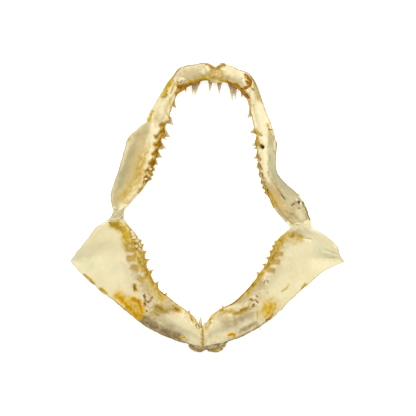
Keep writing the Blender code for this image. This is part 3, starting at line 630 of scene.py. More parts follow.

# %% [markdown]
# ## Marks of the lower left
# Gold runs down the bar from the joint, past small white teeth and five files of waiting
# ones. Two orange arms run out under the bar, pits lie in front of them, and the lower
# side of the front, which faces away from the light, is painted darker as shade.

# %% The marks of the lower left
MARKS["lower_left"] = marks_from(
    ("gold", "under the joint", 2.4, 1.0, (112.5, 223), (120, 226.4), (124.4, 231), (126.6, 237)),
    ("orange", "deep of that band", 1.0, 0.66, (123, 229), (126.4, 235), (126.6, 240)),
    ("gold", "down the bar", 1.9, 0.9, (126.6, 236), (125.8, 246)),
    ("gold", "rim below the joint", 0.6, 0.9, (123.5, 218), (125.4, 222.5), (129.5, 226.5),
     (133, 230.5)),
    ("brown", "front of the joint", 0.5, 1.0, (108.8, 221.4), (109.6, 221)),
    ("tan", "joint", 1.3, 0.5, (112, 224), (119, 222)),
    ("tan", "between the small teeth", 1.6, 1.05, (131.6, 232), (134.4, 240), (138, 249)),
    ("gold", "among the small teeth", 2.4, 1.0, (132, 231), (134, 240), (137, 249)),
    ("white", "first small tooth", 0.65, 1.15, (131.8, 231.4), (133, 231.8)),
    ("white", "second small tooth", 0.7, 1.15, (132.6, 234.4), (134, 234.2)),
    ("white", "third small tooth", 0.7, 1.15, (133, 237.5), (134.4, 237.2)),
    ("white", "fourth small tooth", 0.5, 1.1, (135.4, 240.6), (136.6, 241.4)),
    ("white", "fifth small tooth", 0.5, 1.1, (135.2, 245), (136, 246.2)),
    ("white", "sixth small tooth", 0.4, 1.0, (137.4, 238.8), (138, 240.4)),
    ("white", "seventh small tooth", 0.5, 1.1, (139.4, 243.2), (139.8, 245)),
    ("white", "eighth small tooth", 0.5, 1.1, (138.4, 248), (139.4, 249.6)),
    ("white", "ninth small tooth", 0.36, 0.9, (141, 249), (141.4, 251)),
    ("pit", "first gap", 0.38, 0.9, (132.4, 239.4), (133.8, 239.5)),
    ("pit", "second gap", 0.5, 1.0, (133.8, 243.2), (134.5, 243.8)),
    ("pit", "third gap", 0.5, 1.0, (135.8, 248.4), (136.5, 249.8)),
    ("file", "first", 0.85, 0.9, (127.8, 243.2), (131, 243.4)),
    ("file", "second", 1.25, 1.0, (127.8, 249.2), (132, 249.6)),
    ("file", "third", 1.45, 1.1, (128.8, 258), (132, 258.7)),
    ("file", "fourth", 1.5, 1.0, (132.8, 267.2), (135.8, 268)),
    ("file", "fifth", 1.4, 1.0, (139.2, 278.2), (142, 279)),
    ("gold", "behind the files", 1.5, 0.85, (133.6, 251), (137.6, 259.5), (141.5, 266)),
    ("tan", "front end of the files", 1.6, 0.9, (143, 270), (148, 278), (153, 284)),
    ("tan", "line behind the files", 0.6, 0.8, (134.6, 252.6), (137.6, 258.6), (139.9, 263.4),
     (143.6, 268)),
    ("brown", "end of that line", 0.7, 0.8, (144, 265.4), (145.4, 270), (146.8, 274)),
    ("brown", "thorn of the rim", 0.35, 1.0, (154, 280.6), (155, 282.6)),
    ("gold", "round the tear", 1.1, 0.95, (133.4, 283.6), (135.6, 290)),
    ("amber", "tear", 0.55, 1.0, (134, 285.6), (135.4, 289.6)),
    ("white", "above the tear", 0.5, 1.0, (133.8, 281), (134, 282.6)),
    ("pit", "end of the tear", 0.35, 1.0, (135.4, 289.4), (135.8, 290.2)),
    ("pit", "first pit", 0.65, 1.15, (143.4, 294.8), (144.2, 296.4)),
    ("pit", "second pit", 0.42, 1.1, (151.4, 298.6), (152.6, 297.4)),
    ("pit", "third pit", 0.55, 1.15, (144.2, 303.2), (145.2, 304)),
    ("pit", "fourth pit", 0.36, 1.05, (146, 310.2), (146.3, 310.6)),
    ("pit", "fifth pit", 0.28, 1.0, (143, 305.6), (143.4, 306.4)),
    ("brown", "web between the pits", 0.6, 0.85, (143.6, 295), (144.4, 299), (147.8, 301.8),
     (151.4, 299.4), (152.2, 297.4)),
    ("brown", "foot of the web", 0.55, 0.85, (144.4, 299), (144.8, 304.6)),
    ("white", "under the pits", 0.55, 0.95, (145.4, 306.4), (146.4, 308.2)),
    ("rough", "round the pits", 2.2, 0.75, (146, 299), (150, 308)),
    ("gold", "round the arms of the stain", 3.6, 0.86, (119, 297), (130, 304), (138, 310)),
    ("orange", "outer arm of the stain", 1.5, 1.02, (117, 295), (125, 303), (131, 309.6), (135, 314),
     (138.6, 316.4)),
    ("orange", "inner arm of the stain", 1.35, 1.05, (132.4, 298.6), (138.2, 300.6), (140, 305),
     (141.2, 311)),
    ("gold", "edge of the plate", 0.7, 1.1, (84.4, 274.6), (90, 279.4), (94, 282.8)),
    ("gold", "lower edge of the plate", 0.8, 1.1, (99.6, 288), (105.6, 292.8)),
    ("clay", "bar over the pits", 2.8, 0.8, (145, 284), (151, 291), (161, 300.5), (170, 306)),
    ("tan", "warm part of that bar", 2.4, 0.50, (143, 282), (151, 291), (161, 300.5)),
    ("clay", "round the front files", 2.6, 0.9, (150, 308), (160, 310), (177, 307)),
    ("tan", "round the first front file", 2.0, 1.1, (154, 306.6), (160.4, 307.6), (163.6, 309.6)),
    ("brown", "first front file", 0.8, 0.75, (155, 306.2), (160.4, 307), (163.2, 309.2)),
    ("tan", "below the first front file", 1.3, 0.85, (151, 312), (157, 314)),
    ("shade", "second front file", 1.3, 0.8, (166, 310), (172.6, 308.6)),
    ("tan", "round the third front file", 1.3, 1.0, (173, 307.6), (179, 310)),
    ("brown", "third front file", 0.9, 0.85, (175.4, 308.2), (178, 309.4)),
    ("brown", "fleck of the front rim", 0.32, 1.0, (172.5, 304.4), (172.9, 305.2)),
    ("brown", "second fleck of the front rim", 0.28, 0.95, (184.2, 312), (185, 312.4)),
    # painted shade on the lower side of the front, which faces away from the light: the shade marks are
    # painted shade, the clay marks partly the clay tone it has and partly the fade into that shade
    ("clay", "above the dark side", 1.8, 0.8, (148, 315.5), (163, 321.5), (172, 326.5)),
    ("clay", "lower side of the front", 3.0, 0.9, (146, 320), (160, 329.4), (172, 335), (184, 339)),
    ("shade", "dark of the lower side", 2.7, 0.98, (138, 317), (147, 322), (157, 328.4), (167, 333.4),
     (178, 336.6)),
    ("shade", "streak of the lower side", 0.45, 0.95, (160, 333), (170, 336.4), (177.5, 336)),
    ("shade", "lower streak", 0.35, 0.85, (166, 338.4), (178, 340.6)),
    ("orange", "front spot", 0.48, 1.25, (179.6, 336.6), (184, 336.5)),
    ("gold", "front rim", 0.9, 0.85, (190.6, 316), (198.6, 327.4)),
    ("white", "first cell of the front rim", 0.5, 1.1, (193.8, 322), (194.3, 323.4)),
    ("white", "second cell of the front rim", 0.42, 1.05, (196.6, 326), (197.2, 327.4)),
    ("brown", "wall of the front rim", 0.26, 1.05, (191.4, 317.8), (192.2, 322.6)),
    ("brown", "second wall of the front rim", 0.24, 1.0, (195.4, 324), (196, 328)),
    ("gold", "symphysis", 0.5, 0.62, (200.8, 329), (200.9, 345)),
    ("green", "outer corner", 4.5, 0.75, (80, 258), (90, 264)),
    ("pale", "ridge", 1.6, 0.35, (122.6, 262), (127, 272), (132, 283)),
    ("pale", "plate", 3.0, 0.55, (110, 248), (114, 270)),
    ("pale", "front", 2.8, 0.85, (178, 321), (190, 331), (196, 338)),
)
print("lower_left", len(MARKS["lower_left"]), "marks")

# %% [markdown]
# ## Marks of the lower right
# The same parts as on the left, dried otherwise: one orange stain instead of two arms, four
# pits, and a pale collar at the joint.

# %% The marks of the lower right
MARKS["lower_right"] = marks_from(
    ("gold", "front rim", 0.9, 0.8, (206.8, 327.4), (214, 315.6)),
    ("white", "first cell of the front rim", 0.5, 1.1, (211.7, 320.8), (212.4, 319.4)),
    ("white", "second cell of the front rim", 0.42, 1.05, (206.8, 325.4), (207.6, 324)),
    ("brown", "wall of the front rim", 0.26, 1.0, (209.4, 320), (211.6, 316.4)),
    ("tan", "round the first front file", 1.5, 0.95, (218, 308), (226.6, 311), (231, 310.6)),
    ("brown", "first front file", 0.6, 0.62, (221.5, 309.4), (226.6, 311.2), (229.6, 310.8)),
    ("tan", "round the second front file", 1.5, 1.0, (233, 312), (239, 311.8), (243, 309), (249, 307)),
    ("brown", "second front file", 0.85, 0.72, (233.8, 312), (238.3, 311.8), (242.3, 309),
     (247.2, 307.4)),
    ("clay", "under the front files", 2.6, 0.9, (220, 316), (228, 322), (240, 318), (250, 314)),
    ("pale", "between the front files", 1.5, 0.8, (232, 306.6), (238, 305.6)),
    ("brown", "front rim beside the gape", 0.5, 0.85, (229.7, 304.5), (237, 299.3), (242.3, 293.3),
     (247.7, 289.3), (254, 284)),
    ("clay", "inside that rim", 2.4, 1.0, (236, 303), (243, 297), (250, 291), (258, 283)),
    ("pit", "first pit", 0.62, 1.15, (250, 299.4), (251.4, 300)),
    ("pit", "second pit", 0.36, 1.1, (256, 295), (256.8, 295.6)),
    ("pit", "third pit", 0.42, 1.15, (255, 299.6), (256.8, 301.4)),
    ("pit", "fourth pit", 0.5, 1.2, (251.8, 305.2), (253.8, 304)),
    ("white", "above the pits", 0.5, 0.95, (252.6, 296.6), (253.8, 297.6)),
    ("rough", "round the pits", 1.7, 0.85, (251, 308.6), (254, 302)),
    ("gold", "round the stain", 4.6, 0.84, (268, 310), (270, 306)),
    ("gold", "upper end of the stain", 1.2, 0.75, (271, 304.6), (273.8, 302.4)),
    ("orange", "stain", 2.1, 0.72, (266.8, 311.4), (270, 305.4)),
    ("orange", "lower end of the stain", 0.6, 0.8, (265.6, 314.4), (267, 312)),
    ("orange", "front spot", 0.75, 1.25, (229, 334.8), (231, 333.2), (233.4, 334.8)),
    # painted shade on the lower side of the front, which faces away from the light: the shade marks are
    # painted shade, the clay mark partly the clay tone it has and partly the fade into that shade
    ("clay", "lower side of the front", 1.9, 0.9, (230, 339), (245, 333.4), (258, 326)),
    ("shade", "dark of the lower side", 1.2, 0.8, (240, 331), (247.7, 327), (255, 323.4)),
    ("shade", "lower streak", 0.5, 0.7, (236, 337.6), (248, 331.4)),
    ("tan", "fold", 0.4, 0.7, (256.3, 311.5), (255.8, 319)),
    ("pale", "ridge by the stain", 1.2, 0.9, (258.5, 307), (261.7, 318), (263.5, 320)),
    ("brown", "lower margin", 0.42, 1.15, (265.8, 320), (267.9, 318.5), (273, 314)),
    ("file", "first", 1.25, 1.05, (276.2, 253.3), (280.4, 254)),
    ("file", "second", 1.25, 1.0, (273.2, 260.8), (277.2, 261.6)),
    ("file", "third", 1.3, 1.0, (269, 269.6), (272.2, 270.4)),
    ("brown", "fourth", 0.45, 0.95, (263.8, 282.2), (265.2, 279.6), (267.2, 279.2), (267.4, 281)),
    ("gold", "behind the files", 1.5, 0.85, (281, 241), (277, 249), (272, 258), (267, 266)),
    ("tan", "line behind the files", 0.7, 0.85, (281.8, 237.6), (279, 244), (276.8, 249.4)),
    ("brown", "end of that line", 0.4, 0.6, (274.4, 252), (271, 259), (267, 267)),
    ("gold", "under the joint", 2.3, 0.76, (283, 235), (290, 234.6), (297, 235.6)),
    ("gold", "joint fleck", 0.9, 0.9, (296.8, 235), (301.2, 236.4)),
    ("shade", "line from the fleck", 0.26, 0.62, (303, 237.4), (309.5, 239.2)),
    ("tan", "below the gold", 1.6, 0.55, (292, 242), (302, 239.5)),
    ("pale", "collar of the joint", 2.2, 0.9, (294, 228), (302, 230)),
    ("gold", "streak of the plate", 0.5, 0.72, (287.6, 283.2), (285.2, 288), (281.6, 291.4)),
    ("gold", "edge of the plate", 0.8, 0.9, (301.6, 288), (305, 284.2)),
    ("shade", "dash", 0.22, 0.95, (267, 292), (267, 293.6)),
    ("green", "outer corner", 4.5, 0.75, (318, 250), (330, 256)),
    ("pale", "ridge", 1.2, 0.9, (273, 278), (280, 267), (284, 257)),
    ("pale", "plate", 5.0, 0.6, (292, 262), (300, 256)),
    ("pale", "front", 2.2, 0.7, (214, 330), (224, 333)),
    ("gold", "symphysis", 0.5, 0.62, (203.6, 329), (203.5, 345)),
)
print("lower_right", len(MARKS["lower_right"]), "marks")

# %% [markdown]
# ## Bands
# Some marks follow a whole rim or a whole outer edge: the gum line and the gold strip beside the
# side teeth, which are stains, and painted shade along an outer edge, where it turns away from
# the light. A mark would need a long path for that, so a band only says from where to where it
# runs, both in millimetres from the symphysis, and how wide it is.

# %% The bands of each half
Band = namedtuple("Band", "kind name side start stop wide strength")
BANDS = {
    "upper_left": [
        Band("gold", "gum", "rim", 2, 24, 2.5, 0.95),
        Band("amber", "gum line", "rim", 7, 23, 1.1, 1.0),
        Band("tan", "rim of the neck", "rim", 22, 40, 0.55, 0.95),
        Band("gold", "gum over the files", "rim", 40, 74, 3.0, 0.95),
        Band("window", "files behind the rim", "rim", 41, 73, 2.1, 0.92),
        Band("gold", "rim below the windows", "rim", 72, 80, 0.7, 0.9),
        # painted shade along the top edge and the flange's edge, where the surface turns away from the light
        Band("shade", "top edge", "edge", 2, 23, 0.35, 0.9),
        Band("shade", "edge of the flange", "edge", 40, 80, 0.25, 0.8)],
    "upper_right": [
        Band("gold", "gum", "rim", 3, 21, 1.9, 0.95),
        Band("amber", "gum line", "rim", 6, 20, 1.1, 1.0),
        Band("tan", "rim of the neck", "rim", 20, 38, 0.6, 0.95),
        Band("gold", "gum along the files", "rim", 38, 80, 1.7, 0.95),
        # painted shade along the top edge, the bump's edge and the flange's edge, where the surface turns
        # away
        Band("shade", "top edge", "edge", 6, 21, 0.35, 0.9),
        Band("dark", "edge of the bump", "edge", 43.6, 47.2, 0.3, 0.85),
        Band("shade", "edge of the flange", "edge", 47, 76, 0.3, 0.8)],
    "lower_left": [
        Band("gold", "strip along the rim", "rim", 25, 66, 3.8, 0.72),
        Band("tan", "rim of the bar", "rim", 25, 68, 1.6, 0.8),
        Band("brown", "gum line", "rim", 20, 38, 0.5, 0.8),
        Band("tan", "front rim", "rim", 4, 24, 0.8, 0.8),
        # painted shade along the lower edge and the plate's edge, where the surface turns away from the
        # light
        Band("shade", "lower edge", "edge", 4, 40, 0.6, 1.0),
        Band("shade", "edge of the plate", "edge", 40, 70, 0.25, 0.7)],
    "lower_right": [
        Band("gold", "strip along the rim", "rim", 29, 66, 3.2, 0.70),
        Band("tan", "rim of the bar", "rim", 24, 68, 1.6, 0.76),
        Band("tan", "front rim", "rim", 4, 24, 0.7, 0.8),
        # painted shade along the lower edge and the plate's edge, where the surface turns away from the
        # light
        Band("shade", "lower edge", "edge", 4, 28, 0.6, 0.95),
        Band("shade", "edge of the plate", "edge", 40, 70, 0.25, 0.7)],
}
print(sum(len(bands) for bands in BANDS.values()), "bands")

# %% [markdown]
# ## From paths to values
# For each spot of the skin, a mark's strength falls with the distance to its path. The spots
# are first shaken by a few short waves, so that no border runs straight.

# %% How strong each kind of mark is at each spot
KINDS = ("flange", "green", "clay", "blue", "pale", "shade", "tan", "gold", "orange", "amber",
         "rough", "file", "window", "brown", "white", "pit", "dark")
FAR = 1e6
SHAKES = ((5.0, 0.7), (1.9, 0.30), (0.9, 0.13))   # how long each wave is, and its reach in squares
HALVING = 0.69        # with this, a mark of strength 1 falls to a half at its half width
BAND_FROM = -1.0      # a band starts outside the edge, so that it also covers the edge's side
BAND_FADE = 2.5       # how gently a band ends along its run, in millimetres


def away(spots, path, squareness=2):
    """How far spots are from a path of straight pieces, in millimetres."""
    least = np.full(len(spots), FAR)
    for start, stop in zip(path[:-1], path[1:]):
        length = np.hypot(*(stop - start))
        heading = (stop - start) / length
        off = spots - start
        ahead = off @ heading
        over = np.abs(ahead - np.clip(ahead, 0, length))
        beside = np.abs(off[:, 0] * heading[1] - off[:, 1] * heading[0])
        least = np.minimum(least, (over**squareness + beside**squareness) ** (1 / squareness))
    return least * SQUARE


def seen(point):
    """The square of the grid that an eye 0.9 m above sees a spot in."""
    nearer = EYE / (EYE - point[:, 2]) / SQUARE
    return np.stack([MIDDLE + point[:, 0] * nearer, MIDDLE - point[:, 1] * nearer], axis=1)


def marks(half, lay):
    """The strength of each kind of mark at each spot: a half at its border, more inside."""
    spot = seen(lay["point"])
    for wavelength, reach in SHAKES:
        spot = spot + reach * np.stack([ripple(lay["point"], wavelength, half.seed + 20, 9),
                                        ripple(lay["point"], wavelength, half.seed + 40, 9)], axis=1)
    fields = {kind: np.zeros(len(spot)) for kind in KINDS}
    for mark in MARKS[half.name]:
        squareness = 3 if mark.kind == "file" else 2
        off = away(spot, mark.path, squareness) / mark.radius
        value = mark.strength * np.exp(-HALVING * off**2)
        fields[mark.kind] = np.maximum(fields[mark.kind], value)
    depth, width, distance = lay["depth"], lay["width"], lay["distance"]
    uneven = 0.35 * ripple(distance[:, None], 5.0, half.seed + 60)
    for band in BANDS[half.name]:
        off = depth if band.side == "rim" else lay["reach"] - depth
        off = off + uneven * min(1.0, band.wide)
        across = np.minimum(off - BAND_FROM, band.wide - off) / max(band.wide * 0.6, 0.4)
        inside = np.minimum(across, np.minimum(distance - band.start, band.stop - distance) / BAND_FADE)
        value = np.clip(0.5 + inside, 0, 1.2) * band.strength
        fields[band.kind] = np.maximum(fields[band.kind], value)
    if half.name.startswith("upper"):
        spread = smooth(1.15 * width, 1.5 * width, depth)
        spread *= 1 - 0.4 * smooth(0.80, 0.97, lay["share"])
        spread *= smooth(39, 41.5, distance + 0.25 * depth)
        fields["flange"] = np.maximum(fields["flange"], spread)
        fields["bar"] = 0.55 - 0.35 * smooth(0.9 * width, 1.6 * width, depth)
    else:
        fields["bar"] = 1 - smooth(0.85 * width, 1.25 * width, depth) * smooth(8, 30, distance)
        fields["bar"] *= 0.55 + 0.45 * smooth(8, 24, distance)
    return {kind: np.where(lay["inner"], value, 0) for kind, value in fields.items()}


for name, half in HALVES.items():
    fields = marks(half, half.top(np.full(200, 2.0), np.linspace(0.01, 0.99, 200)))
    strongest = sorted(KINDS, key=lambda kind: -fields[kind].mean())[:3]
    print(name, "two millimetres from its rim is mostly", ", ".join(strongest))

# %% [markdown]
# ## The cartilage
# A shark's jaw is cartilage with a crust of tiny mineral tiles. Dried, it shrinks over what
# lies beneath: the files of waiting teeth stand out as soft pillows and windows, the ridge
# beside them catches the light, and the thin plates ripple. A subdivided block could be
# sculpted, but relief written as sums of a few named forms stays exact and can be changed.

# %% Swellings and hollows of each half, on the grid of the marks
Swell = namedtuple("Swell", "name radius height path")


def swells_from(*rows):
    return [Swell(name, radius, height, np.array(path, float))
            for name, radius, height, *path in rows]


SWELLS = {
    "upper_left": swells_from(
        ("outer fold of the neck", 0.7, 0.55, (171.5, 84.5), (169.2, 92)),
        ("inner fold of the neck", 0.9, 0.7, (175.4, 86.8), (172.6, 94.8)),
        ("trough between them", 0.6, -0.6, (173.4, 84), (170.8, 92.4)),
        ("lip of the gold edge", 0.7, 0.5, (161.6, 97), (166.8, 95)),
        ("step under it", 0.7, -0.5, (161.6, 99.6), (167.4, 97.4)),
        ("trough of the gold edge", 1.2, -0.5, (170, 83), (165, 93)),
        ("symphysis cheek", 1.8, 0.5, (206.5, 67), (207.5, 70)),
        ("first nodule", 0.7, 0.6, (182.9, 79.2), (182.5, 80.4)),
        ("second nodule", 0.6, 0.5, (178.7, 78.9), (179.3, 79.5)),
        ("ridge", 0.9, 0.4, (151.5, 124), (149.6, 144), (143.8, 165), (138.4, 187)),
        ("trough beside the ridge", 1.6, -0.5, (147, 134), (145.4, 150), (138.6, 166), (134, 184)),
        ("bump at the ridge's end", 1.0, 0.6, (138.4, 188), (137.6, 190)),
        ("heel hollow", 1.0, -0.5, (124.8, 204), (129.2, 206)),
        ("heel fold", 1.2, 0.35, (118, 196), (126, 186)),
    ),
    "upper_right": swells_from(
        ("tear", 1.1, -0.7, (246, 76), (250, 80.5), (246, 86.5)),
        ("rim of the tear", 0.7, 0.6, (252.4, 79), (252, 86)),
        ("gum corner", 0.8, -0.4, (242, 90), (247, 96)),
        ("fold of the neck", 0.9, 0.4, (250.8, 92), (251.6, 104)),
        ("groove of the neck", 0.6, -0.45, (255.6, 88), (258.4, 100)),
        ("edge bump", 1.3, 0.6, (274.8, 142), (275, 148)),
        ("pit of the fleck", 0.9, -0.4, (266.4, 124.4), (267.2, 126)),
        ("hole", 1.0, -1.5, (260.8, 145.7), (261.6, 146.4)),
        ("ridge", 0.7, 0.4, (263.8, 151), (265.9, 172), (269, 183)),
        ("trough beside the ridge", 1.0, -0.5, (268.2, 156), (268.8, 172), (274, 185)),
        ("slit", 0.5, -0.9, (281, 195), (283.6, 199)),
        ("fold over the slit", 0.8, 0.5, (278, 186), (284.6, 196)),
        ("step of the tear", 0.8, -0.7, (290.6, 205.6), (294, 203.4), (298, 202)),
        ("shreds", 0.7, 0.5, (296, 199.6), (300.4, 204)),
        ("joint streak", 0.7, -0.45, (285, 211.8), (292.6, 215.2)),
        ("under that streak", 0.9, -0.4, (288, 217.6), (296, 218)),
        ("heel", 2.2, 0.5, (298, 210), (301, 215)),
    ),
    "lower_left": swells_from(
        ("tear", 0.7, -0.8, (134, 285), (135.6, 290)),
        ("dent of the lower side", 1.5, -0.8, (146, 318.5), (166.7, 330.8), (176, 333.4)),
        ("front swelling", 3.0, 0.7, (172, 320), (188, 329)),
        ("ridge", 1.4, 0.4, (122.6, 260), (127, 272), (132, 284)),
        ("fold under the joint", 0.8, 0.35, (110, 222.6), (120, 224.4), (126, 232)),
        ("line behind the files", 0.7, -0.35, (134.6, 252.6), (143.6, 268), (147, 274)),
        ("front file", 1.2, 0.35, (156, 303), (166, 304.6)),
        ("front rim", 0.7, 0.4, (190.8, 314.6), (199, 327.4)),
    ),
    "lower_right": swells_from(
        ("dent of the lower side", 1.4, -0.7, (234, 334), (247.7, 326), (255, 322.6)),
        ("front swelling", 3.0, 0.7, (218, 323), (232, 321)),
        ("fold", 0.6, -0.35, (256.3, 311.5), (255.8, 319)),
        ("ridge by the stain", 1.3, 0.5, (258.6, 306), (261.7, 317), (264, 321)),
        ("joint crease", 0.7, -0.4, (301, 236.8), (310, 239.4)),
        ("collar of the joint", 1.8, 0.5, (294, 228), (302, 230)),
        ("corner flap", 1.0, 0.5, (333, 246), (341, 252)),
        ("crease of the corner", 0.8, -0.4, (324, 250), (338, 254.6)),
        ("second crease", 0.7, -0.35, (326, 258), (340, 258)),
        ("line behind the files", 0.6, -0.35, (281.8, 237.6), (276.8, 249.4), (267, 267)),
        ("pillow between the files", 1.6, 0.45, (232, 306.6), (238, 305.6)),
        ("front rim", 0.7, 0.4, (206.6, 328), (214.4, 315)),
    ),
}
print(sum(len(swells) for swells in SWELLS.values()), "swellings and hollows")

# %% Notches in the outer edges, and bumps where the depth is negative
Bite = namedtuple("Bite", "name distance half depth")
BITES = {
    "upper_left": [Bite("top of the lobe", 5.0, 4.5, 0.40), Bite("corner", 18.5, 2.0, 0.45),
                   Bite("notch of the flange", 40.0, 1.0, 1.0), Bite("first nick", 43.1, 0.5, 0.25),
                   Bite("second nick", 47.1, 0.8, 0.2), Bite("middle of the flange", 57.0, 7.0, -0.35),
                   Bite("heel", 78.0, 5.0, -0.35)],
    "upper_right": [Bite("top of the lobe", 5.0, 3.5, 0.45), Bite("shoulder", 19.5, 5.5, 0.85),
                    Bite("above the bump", 43.2, 0.6, 0.5), Bite("bump", 45.4, 1.9, -0.5),
                    Bite("below the bump", 49.5, 0.5, 0.45), Bite("tear", 77.4, 0.5, 0.9),
                    Bite("second tear", 79.2, 0.5, 0.5), Bite("heel", 83.0, 3.0, 0.35),
                    Bite("knob of the joint", 89.2, 0.9, -0.6)],
    "lower_left": [Bite("tip of the plate", 53.2, 1.2, 0.55), Bite("step of the edge", 45.0, 0.5, 0.3),
                   Bite("second step", 41.2, 0.4, 0.3), Bite("front of the plate", 38.0, 3.5, 0.65),
                   Bite("side of the bulge", 27.0, 3.0, -0.25), Bite("bulge", 17.5, 4.0, 0.30),
                   Bite("chin", 6.5, 3.5, 0.45), Bite("shoulder of the joint", 68.0, 2.5, -0.55)],
    "lower_right": [Bite("tip of the plate", 54.9, 1.3, 0.6), Bite("below the tip", 51.6, 1.2, -0.5),
                    Bite("corner", 60.0, 1.6, -0.1), Bite("crack of the corner", 57.9, 0.35, 0.35),
                    Bite("front of the plate", 43.5, 3.0, 0.5), Bite("front of the blade", 37.5, 2.5, 0.7),
                    Bite("lower edge", 32.6, 0.8, 0.4), Bite("shoulder of the joint", 69.5, 2.5, -0.5)],
}
print(sum(len(bites) for bites in BITES.values()), "notches and bumps")

# %% How far each spot stands out
DEPTH_OF = {   # how high or deep each kind of mark is, in millimetres
    "window": -0.35, "file": -0.30, "amber": -0.12, "brown": -0.15, "white": 0.30, "pit": -0.4,
    "dark": -0.9, "shade": -0.10, "tan": 0.06, "gold": -0.05}
LEDGE = 0.25   # the height of the low ridge where the bar meets the plate, in millimetres


def relief(half, lay, fields):
    """How far each spot stands out of the smooth loft, in millimetres: waves, marks and swells."""
    point, depth, width = lay["point"], lay["depth"], lay["width"]
    plate = smooth(1.2 * width, 2.2 * width, depth)
    lift = 0.13 * ripple(point, 7.0, half.seed) + 0.05 * ripple(point, 2.4, half.seed + 1, 12)
    lift += plate * 0.22 * ripple(point, 13.0, half.seed + 2)
    lift += 0.035 * ripple(point, 1.2, half.seed + 3, 14) * (0.4 + fields["bar"])
    inner = LEDGE * hump(1.02 * width, 0.2 * width, depth)
    for kind, height in DEPTH_OF.items():
        inner += height * smooth(0.3, 0.8, fields[kind])
    spot = seen(point)
    for swell in SWELLS[half.name]:
        inner += swell.height * np.exp(-(away(spot, swell.path) / swell.radius) ** 2)
    inner += 0.40 * ripple(point, 1.3, half.seed + 4, 12) * smooth(0.3, 0.8, fields["rough"])
    inner += 0.15 * ripple(point, 1.1, half.seed + 8, 12) * smooth(0.4, 0.9, fields["window"])
    return (lift + np.where(lay["inner"], inner, 0)) * lay["round_off"]


# %% The scalloped rim
Scallop = namedtuple("Scallop", "height fall start")
SCALLOPS = {   # how high the feet of the side teeth stand, how deep the gaps are, and from where
    "upper_left": Scallop(1.35, 0.55, 32), "upper_right": Scallop(1.45, 0.90, 34),
    "lower_left": Scallop(1.10, 0.75, 24), "lower_right": Scallop(0.90, 0.25, 36)}
UPPER_FROM = 36   # the upper rims are scalloped only behind this distance


def scallops(half, distance):
    """How far the rim stands out at the foot of each side tooth, and draws back between two."""
    total = np.zeros(len(distance))
    for tooth in TEETH[half.name]:
        if half.name.startswith("lower") or tooth.at > UPPER_FROM:
            total = np.maximum(total, hump(tooth.at, 0.5 * tooth.width + 0.3, distance))
    height, fall, start = SCALLOPS[half.name]
    return (height * total - fall) * smooth(start, start + 8, distance) * (1 - smooth(74, 80, distance))


for name, half in HALVES.items():
    print(name, "rim stands out by up to", round(scallops(half, half.lengths).max(), 2), "mm")

# %% The skin of a half, with more columns on the side that is seen
SEEN = 0.64                         # the part of the columns on the inner side
EDGE_REACH, RIM_REACH = 1.4, 1.5    # how far in a notch or a scallop is felt, in millimetres
UNDERNEATH = 9.0                    # sets the stored place of the outer side apart
EDGE_IN = {   # how far each outer edge is drawn in, in millimetres
    "upper_left": -0.10, "upper_right": 0.08, "lower_left": 0.05, "lower_right": 0.0}


def skin(half, columns, rows):
    piece = Piece(half.name + "_cartilage", (*KINDS, "bar", "edge"))

    def shape(turn, run):
        across_turn = np.where(turn <= SEEN, turn / SEEN, (1 - turn) / (1 - SEEN))
        angle = 0.45 * math.pi * across_turn + 0.55 * np.arccos(1 - 2 * across_turn)
        side = np.where(turn <= SEEN, 1, -1)
        lay = half.lay(np.where(side > 0, angle, 2 * math.pi - angle) / (2 * math.pi), run)
        fields = marks(half, lay)
        lift = relief(half, lay, fields) * np.where(lay["inner"], 1, -1)
        edge = lay["reach"] - lay["depth"]
        inward = (EDGE_IN[half.name] + 0.15 * ripple(lay["point"], 7.0, half.seed + 6)
                  + 0.13 * ripple(lay["point"], 1.8, half.seed + 7))
        for bite in BITES[half.name]:
            inward += bite.depth * hump(bite.distance, bite.half, lay["distance"])
        inward *= np.exp(-(edge / EDGE_REACH) ** 2)
        outward = scallops(half, lay["distance"]) * np.exp(-(lay["depth"] / RIM_REACH) ** 2)
        ends = smooth(0.0, 0.04, run) * (1 - smooth(0.96, 1.0, run))
        point = (lay["point"] + lay["out"] * lift[:, None]
                 - lay["across"] * ((inward + outward) * ends)[:, None])
        point[:, 2] = np.maximum(point[:, 2], FLOOR)
        fields["lie"] = np.stack([lay["distance"], lay["depth"], side * UNDERNEATH], axis=1)
        fields["edge"] = np.minimum(edge, lay["depth"])
        return point, fields

    piece.roll(columns, rows, shape)
    return piece


# %% [markdown]
# ## The finish of dried cartilage
# Light passes a little way into cartilage, so the colour is warm and soft at thin edges. A
# painted texture would fix the stains to one photo. Here the paths stored in the mesh say
# where a stain is, and noise decides its ragged border, as a spreading liquid would.
# Some paths paint shade instead of a stain: on the lower sides of the fronts, in a crease by a joint, along
# the edges and inside holes and slits.

